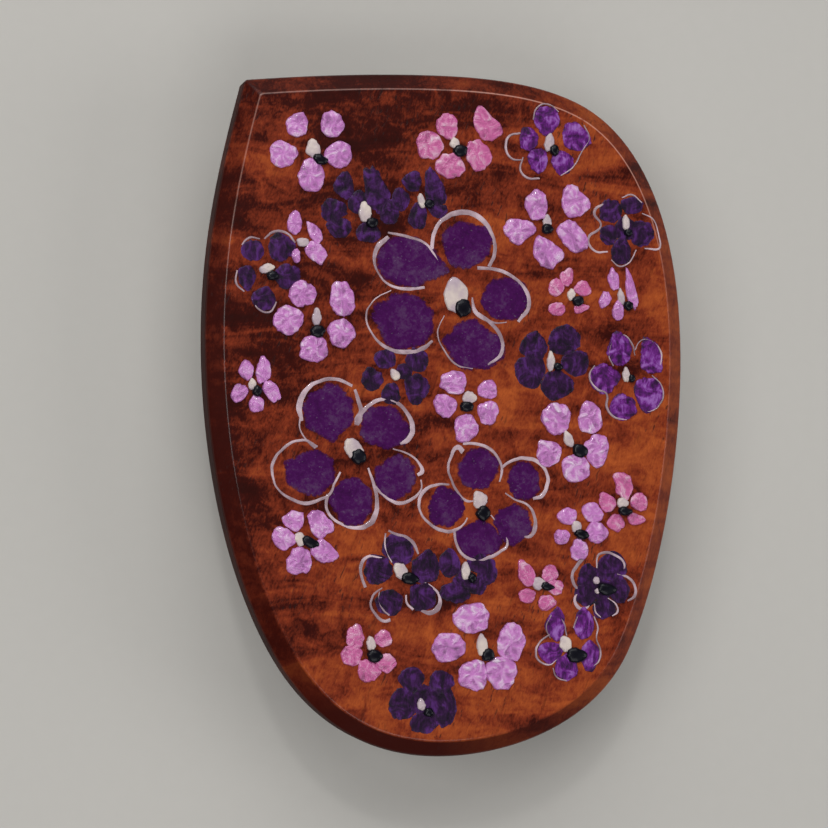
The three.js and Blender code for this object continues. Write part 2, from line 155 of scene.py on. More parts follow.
class BarretteStage(bpy.types.PropertyGroup):
    floor_tone: colour_property("Floor", "Colour of the plain floor", tint(200, 197, 191))
    floor_size: length_property("Floor size", "Side of the square floor", 3.0)
    camera_distance: length_property("Camera distance", "Lens to where it looks", 255.6 * MM)
    lens: FloatProperty(
        name="Lens", description="Focal length in millimetres", default=100, min=20, max=300
    )
    camera_turn: angle_property("Turn", "Camera's turn to the left of square on", 14)
    camera_drop: angle_property("Drop", "Camera's drop below square on", 2)
    key_power: power_property("Key light", "Power of the main softbox", 3.1)
    fill_power: power_property("Fill lights", "Power of each side light", 1.2)
    glint_power: power_property("Glint", "Power of the small lamp", 0.5)
    sky: FloatProperty(
        name="Sky", description="Strength of the even light all round", default=0.05, min=0
    )


# ---- Finishes: shader maths as Python expressions ----


class Flow:
    """One value in a finish. Operators on it add Math nodes."""

    def __init__(self, finish, socket):
        self.finish = finish
        self.socket = socket

    def maths(self, operation, *values):
        sockets = dict(enumerate(values))
        return self.finish.node("ShaderNodeMath", {"operation": operation}, sockets)

    def __add__(self, other):
        return self.maths("ADD", self, other)

    def __radd__(self, other):
        return self.maths("ADD", other, self)

    def __sub__(self, other):
        return self.maths("SUBTRACT", self, other)

    def __rsub__(self, other):
        return self.maths("SUBTRACT", other, self)

    def __mul__(self, other):
        return self.maths("MULTIPLY", self, other)

    def __rmul__(self, other):
        return self.maths("MULTIPLY", other, self)

    def sine(self):
        return self.maths("SINE", self)

    def angle(self, across):
        """The heading of a point, where this value is its distance along."""
        return self.maths("ARCTAN2", self, across)

    def rise(self, low, high):
        """0 below low, 1 above high and smooth between. It falls where high is the smaller."""
        settings = {"interpolation_type": "SMOOTHSTEP"}
        sockets = {"Value": self, "From Min": min(low, high), "From Max": max(low, high)}
        step = self.finish.node("ShaderNodeMapRange", settings, sockets)
        return step if low < high else 1 - step


class Finish:
    """A material under construction."""

    def __init__(self, name):
        self.material = bpy.data.materials.new(name)
        self.material.use_nodes = True
        self.tree = self.material.node_tree
        self.shader = self.tree.nodes["Principled BSDF"]

    def node(self, kind, settings=None, sockets=None, take=0):
        """Adds a node and gives back an output. Stops are a ramp's (place, colour) pairs."""
        made = self.tree.nodes.new(kind)
        for name, value in (settings or {}).items():
            if name == "stops":
                self.set_stops(made.color_ramp, value)
            else:
                setattr(made, name, value)
        for name, value in (sockets or {}).items():
            self.feed(made.inputs[name], value)
        return Flow(self, made.outputs[take])

    def set_stops(self, ramp, stops):
        while len(ramp.elements) < len(stops):
            ramp.elements.new(1)
        for element, (place, colour) in zip(ramp.elements, stops):
            element.position = place
            element.color = colour

    def feed(self, socket, value):
        if isinstance(value, Flow):
            self.tree.links.new(value.socket, socket)
        else:
            socket.default_value = value

    def place(self):
        """Where a point is on the barrette, in millimetres."""
        coordinates = self.node("ShaderNodeTexCoord", take="Object")
        return self.scaled(coordinates, (1000, 1000, 1000))

    def scaled(self, vector, factors):
        return self.node("ShaderNodeVectorMath", {"operation": "MULTIPLY"}, {0: vector, 1: factors})

    def moved(self, vector, offset):
        return self.node("ShaderNodeVectorMath", {"operation": "ADD"}, {0: vector, 1: offset})

    def turned(self, vector, degrees):
        """The vector turned about z."""
        sockets = {"Vector": vector, "Rotation": (0, 0, math.radians(degrees))}
        return self.node("ShaderNodeMapping", sockets=sockets)

    def length(self, vector):
        return self.node("ShaderNodeVectorMath", {"operation": "LENGTH"}, {0: vector}, take="Value")

    def parts(self, vector):
        made = self.node("ShaderNodeSeparateXYZ", sockets={0: vector}).socket.node
        return [Flow(self, output) for output in made.outputs]

    def noise(self, vector, scale=1.0, detail=2.0, roughness=0.5, distortion=0.0):
        sockets = {
            "Vector": vector,
            "Scale": scale,
            "Detail": detail,
            "Roughness": roughness,
            "Distortion": distortion,
        }
        return self.node("ShaderNodeTexNoise", sockets=sockets)

    def mix(self, factor, first, second):
        sockets = {0: factor, 6: first, 7: second}
        return self.node("ShaderNodeMix", {"data_type": "RGBA"}, sockets, take=2)

    def ramp(self, factor, stops):
        return self.node("ShaderNodeValToRGB", {"stops": stops}, {0: factor})

    def bump(self, height, distance, strength=1.0):
        sockets = {"Height": height, "Distance": distance, "Strength": strength}
        return self.node("ShaderNodeBump", sockets=sockets)

    def surface(self, **sockets):
        """Feeds the shader. Words are its sockets' names, with _ for a space."""
        for name, value in sockets.items():
            label = name.replace("_", " ").title().replace("Ior", "IOR")
            self.feed(self.shader.inputs[label], value)
        return self.material


def shaded(colour, factor):
    """The colour made darker, or lighter where factor is over 1."""
    return (*(min(1.0, channel * factor) for channel in colour[:3]), 1.0)


def blended(first, second, share):
    return tuple(a + (b - a) * share for a, b in zip(first, second))


WHITE = (1.0, 1.0, 1.0, 1.0)
# Colour of the painted highlight along the upper arris.
ARRIS_HIGHLIGHT_TONE = tint(222, 164, 146)

# Broad light and dark clouds in the figure, the last three of them painted shade on the top slope
# and
# the left rim: middle x and y, half width and half height in millimetres, and how much lighter the
# wood is there.
CLOUDS_AND_RIM_SHADE = [
    (-21, 28, 5, 5, 0.18),
    (-12, 31, 8, 5, -0.22),
    (0, 34, 8, 3, -0.10),
    (14, 31, 7, 4, 0.12),
    (22, 27, 7, 7, -0.22),
    (11, 24, 7, 5, -0.16),
    (-9, 22, 5, 4, -0.18),
    (5, 21, 4, 3, 0.18),
    (12, 17, 6, 4, -0.14),
    (21, 16, 4, 4, -0.12),
    (-24, 15, 3, 4, 0.12),
    (4, 11, 3, 3, -0.10),
    (20, 9, 7, 4, -0.24),
    (-21, 5, 4, 4, -0.12),
    (-11, 1, 5, 4, 0.14),
    (20, 5, 3, 2, -0.16),
    (5, 1, 4, 3, 0.28),
    (5, -5, 4, 3, -0.18),
    (-25, -6, 3, 7, -0.22),
    (-19, -10, 3, 3, 0.12),
    (7, -10, 7, 4, -0.10),
    (20, -10, 3, 2, -0.30),
    (-12, -15, 7, 3.5, 0.22),
    (12, -18, 7, 4, -0.12),
    (-3, -21, 5, 2.5, -0.18),
    (-13, -20, 5, 3, 0.08),
    (5, -20, 4, 3, 0.16),
    (20, -20, 4, 3, -0.34),
    (0, -25, 4, 2.5, 0.24),
    (19, -26, 4, 3, -0.14),
    (-10, -30, 4, 2.5, 0.22),
    (4, -31, 6, 4, 0.08),
    (-20, -24, 5, 4, -0.12),
    (11, -35, 5, 2, -0.16),
    # Painted shade: these last three darken the top slope and the left rim.
    (-8, 37.6, 9, 2, -0.30),
    (-27, -4, 3, 11, -0.14),
    (-27, 10, 2.5, 6, -0.05),
]
CLOUD_EDGE = 1.3  # reach of a cloud's fade, in half widths
CLOUD_WARP = (7, 3, 0)  # the most that the clouds' outlines are shifted, in millimetres
GRAIN_LEAN = 20  # degrees that the grain leans from upright, towards the right

# How tightly each part of the figure is packed across, along and through the plate.
DRIFT = (0.06, 0.09, 0.06)
CURL = (0.08, 0.3, 0.08)
MOTTLE = (0.62, 0.5, 0.62)
FIBRE = (4.4, 1.8, 4.4)
STREAKS = (1.5, 0.16, 1.5)
PORES = (3.6, 0.9, 3.6)
PORE_CLUSTERS = (0.12, 0.1, 0.12)


def cloud(finish, place, middle, half_width, half_height, lightness):
    """A soft oval of lighter or darker wood, or of painted shade."""
    settings = {"operation": "MULTIPLY_ADD"}
    sockets = {
        0: place,
        1: (1 / half_width, 1 / half_height, 0),
        2: (-middle[0] / half_width, -middle[1] / half_height, 0),
    }
    out = finish.length(finish.node("ShaderNodeVectorMath", settings, sockets))
    settings = {"interpolation_type": "SMOOTHSTEP"}
    sockets = {"Value": out, "From Max": CLOUD_EDGE, "To Min": lightness, "To Max": 0.0}
    return finish.node("ShaderNodeMapRange", settings, sockets)


def figure_tone(finish, place, grain, mottle):
    """How light the wood is: curl across the grain, mottle, fibre along it, and the clouds, the
    last three of which are painted shade at the rim.
    """
    x, y, _ = finish.parts(place)
    drift = finish.noise(finish.scaled(place, DRIFT), detail=2) - 0.5
    curl = finish.noise(finish.scaled(place, CURL), detail=3, roughness=0.6, distortion=1.0)
    wave = (y * 1.25 + x * 0.1 + drift * 18).sine()
    fibre = finish.noise(finish.scaled(grain, FIBRE), detail=4, roughness=0.75)
    tone = x * 0.0058 - y * 0.0014 + curl + wave * 0.05 + mottle * 0.78 + fibre * 0.6 - 0.715
    shift = finish.scaled(finish.noise(place, scale=0.12, detail=2), CLOUD_WARP)
    warped = finish.moved(place, shift)
    for middle_x, middle_y, half_width, half_height, lightness in CLOUDS_AND_RIM_SHADE:
        middle = (middle_x + CLOUD_WARP[0] / 2, middle_y + CLOUD_WARP[1] / 2)
        tone = tone + cloud(finish, warped, middle, half_width, half_height, lightness)
    return tone


def figured_wood(wood):
    """Curly hardwood under lacquer, with painted shade darkening the slope and wall, and a painted
    highlight along the upper arris.
    """
    finish = Finish("lacquered_curly_wood")
    place = finish.place()
    grain = finish.turned(place, GRAIN_LEAN)
    mottle = finish.noise(finish.scaled(place, MOTTLE), detail=5, roughness=0.68, distortion=0.8)
    colour = finish.ramp(figure_tone(finish, place, grain, mottle), [
        (0.05, shaded(wood.umber, 0.6)),
        (0.25, wood.umber),
        (0.5, wood.russet),
        (0.72, blended(wood.russet, wood.amber, 0.55)),
        (0.95, wood.amber),
    ])
    streak = finish.noise(finish.scaled(grain, STREAKS), detail=4, roughness=0.7, distortion=0.4)
    colour = finish.mix(streak.rise(0.54, 0.72) * 0.4, colour, shaded(wood.umber, 0.7))
    clusters = finish.noise(finish.scaled(place, PORE_CLUSTERS), detail=2).rise(0.42, 0.62)
    pores = finish.noise(finish.scaled(grain, PORES), detail=1).rise(0.63, 0.73) * clusters
    colour = finish.mix(pores * 0.7, colour, shaded(wood.umber, 0.25))

    x, y, z = finish.parts(place)
    depth = FACE_LEVEL / MM - z
    wall_top = wood.bevel_depth / MM
    slope = depth.rise(0.04, 0.2)
    wall = depth.rise(wall_top, wall_top + 0.2)
    # Painted shade: the slope is darkened all round, and more towards the lower left and along the
    # bottom end.
    shade = (x * -1 - y * 0.5).rise(8, 28) + y.rise(-28, -36)
    colour = finish.mix(slope * (shade * 0.44 + 0.28), colour, wood.umber)
    # Painted shade: the wall is darkened towards half the darkest umber.
    colour = finish.mix(wall * 0.6, colour, shaded(wood.umber, 0.5))
    # Painted highlight: a pale pink line along the arris, broken by mottle, only on the upper part
    # and strongest to the right.
    arris = depth.rise(0.1, 0.04) * depth.rise(0, 0.015) * mottle.rise(0.2, 0.5)
    arris_highlight = arris * y.rise(8, 30) * (x.rise(-6, 6) * 0.6 + 0.4)
    colour = finish.mix(arris_highlight * 0.6, colour, ARRIS_HIGHLIGHT_TONE)

    ripple = finish.noise(place, scale=0.35, detail=2)
    return finish.surface(
        base_color=colour,
        roughness=0.32 + mottle * 0.14 + pores * 0.2 + wall * 0.3,
        specular_ior_level=0.14,
        coat_weight=wood.lacquer * (1 - wall) * (1 - slope * (1 - arris_highlight) * 0.8),
        coat_roughness=0.12,
        normal=finish.bump(pores * -1 + ripple * 0.5, 0.04 * MM, 0.5),
    )


def petal_shape(finish):
    """A dab's round coordinates: across and along it, how far out a point is, and its number."""
    petal = finish.node("ShaderNodeAttribute", {"attribute_name": "petal"}, take="Vector")
    across, along, seed = finish.parts(petal)
    flat = finish.node("ShaderNodeCombineXYZ", sockets={0: across, 1: along})
    return across, along, finish.length(flat), seed


def dab_breadth(finish):
    """How broad the dab is, in millimetres."""
    return finish.node("ShaderNodeAttribute", {"attribute_name": "breadth"}, take="Fac")


def thick_paint(name, body, swirl_depth):
    """Heavy paint laid in one turn of a loaded brush, swirled most where the dab is broad, its
    ridges partly painted highlight and its grooves partly painted shade.
    """
    finish = Finish(name)
    place = finish.place()
    across, along, out, seed = petal_shape(finish)
    heading = along.angle(across)
    blend = finish.noise(place, scale=0.5, detail=3, roughness=0.55, distortion=1.2)
    wander = finish.noise(place, scale=0.8, detail=2)
    broad = (heading * 3 + out * 4 + wander * 7 + seed * 2.3).sine()
    narrow = (heading * 7 - out * 5 + wander * 9 + seed * 4.1).sine()
    freedom = dab_breadth(finish).rise(1.6, 3.4) * 0.7 + 0.3
    swirl = (broad * 0.45 + narrow * 0.55) * out.rise(0.05, 0.5) * freedom
    tone = 0.5 + swirl * swirl_depth + (blend - 0.5)
    # The colour follows the relief, pale on the ridges and dark in the grooves: partly streaks in
    # the paint, partly painted highlight and painted shade.
    colour = finish.ramp(tone, [
        (0.18, shaded(body, 0.42)),
        (0.38, shaded(body, 0.8)),
        (0.52, body),
        (0.7, blended(body, WHITE, 0.3)),
        (0.9, blended(body, WHITE, 0.7)),
    ])
    relief = finish.bump(tone, 0.55 * MM)
    return finish.surface(
        base_color=colour,
        roughness=0.36 - blend * 0.16,
        coat_weight=0.6,
        normal=relief,
    )


def worn_edge(finish, out, start=0.86):
    """Coverage of a thin dab: solid, and broken up by grit where it thins at the edge."""
    grit = finish.noise(finish.place(), scale=2.2, detail=3, roughness=0.7)
    return (out + (grit - 0.5) * 0.45).rise(1.03, start)


def matt_paint(name, body):
    """Thin, gritty paint that dried matt, with tiny pale specks."""
    finish = Finish(name)
    place = finish.place()
    out = petal_shape(finish)[2]
    haze = finish.noise(place, scale=0.5, detail=4, roughness=0.65)
    grit = finish.noise(place, scale=2.8, detail=3, roughness=0.7)
    colour = finish.ramp(haze * 0.6 + grit * 0.4, [
        (0.35, shaded(body, 0.6)),
        (0.5, body),
        (0.68, blended(body, WHITE, 0.04)),
    ])
    specks = finish.noise(place, scale=3.6, detail=1).rise(0.68, 0.78)
    colour = finish.mix(specks * 0.18, colour, blended(body, WHITE, 0.3))
    relief = finish.bump(grit, 0.05 * MM, 0.7)
    return finish.surface(
        base_color=colour,
        roughness=0.62 + grit * 0.2,
        specular_ior_level=0.08,
        alpha=worn_edge(finish, out),
        normal=relief,
    )


def brushed_paint(name, body, light):
    """Brushed paint of middling body, with near-black and lighter strokes side by side."""
    finish = Finish(name)
    place = finish.place()
    out = petal_shape(finish)[2]
    swirl = finish.noise(place, scale=0.55, detail=3, roughness=0.6, distortion=1.4)
    streaked = finish.scaled(place, (1.7, 0.6, 1.0))
    strokes = finish.noise(streaked, detail=3, roughness=0.7, distortion=0.8)
    colour = finish.ramp(swirl * 0.6 + strokes * 0.4, [
        (0.38, shaded(body, 0.16)),
        (0.47, shaded(body, 0.55)),
        (0.52, body),
        (0.6, blended(body, light, 0.55)),
        (0.72, light),
    ])
    relief = finish.bump(swirl + strokes * 0.4, 0.14 * MM, 0.7)
    return finish.surface(
        base_color=colour,
        roughness=0.5 - swirl * 0.15,
        specular_ior_level=0.25,
        alpha=worn_edge(finish, out, 0.94),
        normal=relief,
    )


def plain_paint(name, light, dark, roughness, tooth=0.04, sheen=0.3):
    """A smooth dab or line, of wandering tone. Tooth is the depth of its grain in millimetres."""
    finish = Finish(name)
    place = finish.place()
    wander = finish.noise(place, scale=0.35, detail=3, roughness=0.6).rise(0.35, 0.68)
    colour = finish.mix(wander, dark, light)
    relief = finish.bump(finish.noise(place, scale=1.4, detail=2), tooth * MM, 0.6)
    return finish.surface(
        base_color=colour,
        roughness=roughness + wander * 0.12,
        specular_ior_level=sheen,
        coat_weight=sheen,
        normal=relief,
    )


def stamped_metal(name, tone, roughness, brushed=(0.25, 6.0)):
    """Stamped strip: drawing lines along it, smears, small scratches and dull worn edges."""
    finish = Finish(name)
    place = finish.place()
    along, across = brushed
    lines = finish.noise(finish.scaled(place, (across, along, across)), detail=3, roughness=0.6)
    smears = finish.noise(place, scale=0.22, detail=4, roughness=0.6)
    scuffed = finish.scaled(place, (1.1, 3.8, 1.1))
    scratches = finish.noise(scuffed, detail=1, distortion=2.5).rise(0.66, 0.7)
    edge = finish.node("ShaderNodeNewGeometry", take="Pointiness").rise(0.52, 0.6)
    colour = finish.mix(smears.rise(0.35, 0.7) * 0.5, tone, shaded(tone, 0.72))
    colour = finish.mix(edge * 0.4, colour, blended(tone, WHITE, 0.4))
    gloss = roughness + lines * 0.12 + smears * 0.14 + scratches * 0.06
    relief = finish.bump(lines * 0.5 - scratches * 0.3, 0.01 * MM, 0.6)
    return finish.surface(base_color=colour, metallic=1.0, roughness=gloss, normal=relief)


def turned_brass(name, tone):
    """Screw brass, tarnished in the slot and bright on the rim."""
    finish = Finish(name)
    place = finish.place()
    tarnish = finish.noise(place, scale=0.8, detail=4, roughness=0.65).rise(0.4, 0.7)
    edge = finish.node("ShaderNodeNewGeometry", take="Pointiness")
    hollow = edge.rise(0.49, 0.42)
    colour = finish.mix(tarnish * 0.55, tone, shaded(tone, 0.45))
    colour = finish.mix(hollow * 0.8, colour, shaded(tone, 0.15))
    relief = finish.bump(finish.noise(place, scale=2.5, detail=3), 0.01 * MM, 0.5)
    gloss = 0.28 + tarnish * 0.25
    return finish.surface(base_color=colour, metallic=1.0, roughness=gloss, normal=relief)


def cured_glue(name, tone):
    """Squeezed-out epoxy: cloudy amber with fine bubbles."""
    finish = Finish(name)
    place = finish.place()
    haze = finish.noise(place, scale=0.35, detail=4, roughness=0.6)
    cells = finish.node("ShaderNodeTexVoronoi", sockets={"Vector": place, "Scale": 1.6})
    bubbles = cells.rise(0.22, 0.12)
    colour = finish.mix(haze.rise(0.3, 0.7), shaded(tone, 0.6), blended(tone, WHITE, 0.2))
    colour = finish.mix(bubbles * 0.4, colour, blended(tone, WHITE, 0.5))
    return finish.surface(
        base_color=colour,
        roughness=0.22 + haze * 0.2,
        coat_weight=0.5,
        normal=finish.bump(haze - bubbles * 0.3, 0.12 * MM, 0.7),
    )


def studio_floor(name, tone):
    """A plain pale sweep with the faintest tooth."""
    finish = Finish(name)
    place = finish.place()
    tooth = finish.noise(place, scale=0.6, detail=3)
    colour = finish.mix(tooth, shaded(tone, 0.97), tone)
    relief = finish.bump(tooth, 0.05 * MM, 0.2)
    return finish.surface(base_color=colour, roughness=0.85, normal=relief)


# ---- Making pieces ----


def new_piece(name, bm, body, materials, smooth_under=35):
    """Makes a mesh object of the bmesh, in place, with soft shading across shallow angles."""
    mesh = bpy.data.meshes.new(name)
    bm.to_mesh(mesh)
    bm.free()
    for material in materials:
        mesh.materials.append(material)
    mesh.polygons.foreach_set("use_smooth", [True] * len(mesh.polygons))
    mesh.set_sharp_from_angle(angle=math.radians(smooth_under))
    piece = bpy.data.objects.new(name, mesh)
    bpy.context.scene.collection.objects.link(piece)
    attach(piece, body)
    return piece


def even_shading(piece):
    """Keeps broad flat faces flat between rounded edges."""
    weighted = piece.modifiers.new("even_shading", "WEIGHTED_NORMAL")
    weighted.keep_sharp = True
    weighted.weight = 80


# ---- Wooden plate ----

# Once round the plate, clockwise from the top: two handles and an end for each curve, as shares of
# the half width and half length. The last two curves meet in the plate's one crisp corner.
TOP = (-0.02, 1)
OUTLINE = [
    [(0.2, 1), (0.38, 0.985), (0.52, 0.945)],
    [(0.8, 0.87), (1, 0.62), (1, 0.18)],
    [(1, -0.15), (0.9, -0.5), (0.76, -0.71)],
    [(0.62, -0.91), (0.28, -1), (-0.02, -1)],
    [(-0.31, -1), (-0.54, -0.91), (-0.7, -0.72)],
    [(-0.9, -0.48), (-1, -0.12), (-1, 0.22)],
    [(-1, 0.5), (-0.93, 0.72), (-0.842, 0.962)],
    [(-0.5, 0.99), (-0.24, 1), TOP],
]
CORNER = OUTLINE[6][2]
CURVE_STEPS = 24
CORNER_RUN = 3.4 * MM  # straight run to each side of the corner, which leaves room to round it
TOUCHING = 0.01 * MM  # points closer than this are one point
SAME_LEVEL = 0.05 * MM  # the bevelled corner's ends lie this close to the level they were cut at
BENT = math.radians(15)
CORNER_SEGMENTS = 6
EDGE_SEGMENTS = 3
BACK_SEGMENTS = 4


def plate_point(share):
    return Vector((share[0] * HALF_WIDTH, share[1] * HALF_LENGTH, PLATE_LOW.z))


def outline_points():
    """Points once round the outline, with none close beside the crisp corner."""
    corner = plate_point(CORNER)
    points = []
    start = TOP
    for first, second, end in OUTLINE:
        knots = map(plate_point, (start, first, second, end))
        points += interpolate_bezier(*knots, CURVE_STEPS + 1)[1:]
        start = end
    return [point for point in points if not TOUCHING < (point - corner).length < CORNER_RUN]


def corner_edges(bm):
    """The edges that run up from the crisp corner, over the wall and over the slope."""
    corner = plate_point(CORNER).xy
    return [
        edge
        for edge in bm.edges
        if abs(edge.verts[0].co.z - edge.verts[1].co.z) > 0.5 * MM
        and min((vertex.co.xy - corner).length for vertex in edge.verts) < TOUCHING
    ]


def build_plate(wood):
    """The plate: its outline raised to the wall's top, sloped up to the face, and rounded."""
    bm = bmesh.new()
    back = bm.faces.new([bm.verts.new(point) for point in outline_points()])
    wall = bmesh.ops.extrude_face_region(bm, geom=[back], use_keep_orig=True)["geom"]
    front = next(item for item in wall if isinstance(item, bmesh.types.BMFace))
    rise = FACE_LEVEL - wood.bevel_depth - PLATE_LOW.z
    bmesh.ops.translate(bm, verts=front.verts, vec=(0, 0, rise))
    bmesh.ops.recalc_face_normals(bm, faces=bm.faces)
    bmesh.ops.inset_region(
        bm, faces=[front], thickness=wood.bevel_width, depth=wood.bevel_depth, use_even_offset=True
    )
    wall_top = FACE_LEVEL - wood.bevel_depth
    bevel(bm, corner_edges(bm), wood.corner_radius, CORNER_SEGMENTS)
    bevel(bm, level_edges(bm, FACE_LEVEL), wood.arris_radius, EDGE_SEGMENTS)
    bevel(bm, level_edges(bm, wall_top), wood.edge_radius, EDGE_SEGMENTS)
    bevel(bm, level_edges(bm, PLATE_LOW.z), wood.edge_radius, BACK_SEGMENTS)
    front_and_back = sorted(bm.faces, key=lambda face: face.calc_area())[-2:]
    for face in front_and_back:
        bmesh.ops.inset_region(bm, faces=[face], thickness=wood.arris_radius, use_even_offset=True)
    return bm


def level_edges(bm, level):
    """Edges that lie at one level and are bent enough to be an edge of the plate."""
    return [
        edge
        for edge in bm.edges
        if all(abs(vertex.co.z - level) < SAME_LEVEL for vertex in edge.verts)
        and edge.calc_face_angle() > BENT
    ]


def bevel(bm, edges, radius, segments):
    bmesh.ops.bevel(
        bm, geom=edges, offset=radius, offset_type="OFFSET", segments=segments,
        profile=0.5, affect="EDGES", material=-1, clamp_overlap=True,
    )


# ---- Painted flowers ----

# Thickness of the petals in millimetres, and their spread over the sizes listed.
THICKNESS = {"orchid": 0.34, "pink": 0.28, "violet": 0.07, "plum": 0.07, "iris": 0.16}
SPREAD = {"orchid": 1.0, "pink": 1.0, "violet": 1.0, "plum": 1.12, "iris": 1.02}
HEART_SPREAD = 0.88
HEART_HEIGHT = 0.36
HEART_RIDGE = 0.15
INK_HEIGHT = 0.62
LINE_RISE = 0.02  # how far a brush line stands over the petals it runs along

PETAL, LINE, LIGHT, DARK = range(4)  # a flower's material slots
BROAD_DAB = 4.5  # a dab this wide or long has twice the sides
SPHERE_RINGS = 14  # a dab starts as the upper half of a sphere with this many
STEEPNESS = 0.4  # power of a dab's section: the smaller, the steeper its edge
EDGE_SINK = 0.03  # how far a dab's edge lies below the surface, so that no gap shows
TIP_REACH = 0.28  # how much further out a drawn-out tip is
TIP_SHARPNESS = 9
EQUATOR_SLACK = 0.01  # so that rounding doesn't cut into a sphere's equator
MIDDLE = 1e-6  # nearer the middle than this, a point has no heading
TAPER = 0.16  # narrowing of a petal towards the flower's heart
LINE_WAVER = 0.06  # unsteadiness of a brush line

# Each flower: its petals, light dabs, dark dabs and brush lines, all in millimetres. The first word
# of its name is its paint.
# A dab: middle x and y, width and height, then its lean and the heading of its drawn-out tip in
# degrees. With neither it has no tip, and with a lean alone its tip heads 0 degrees.
# A brush line: its points, each x, y and the line's width there.

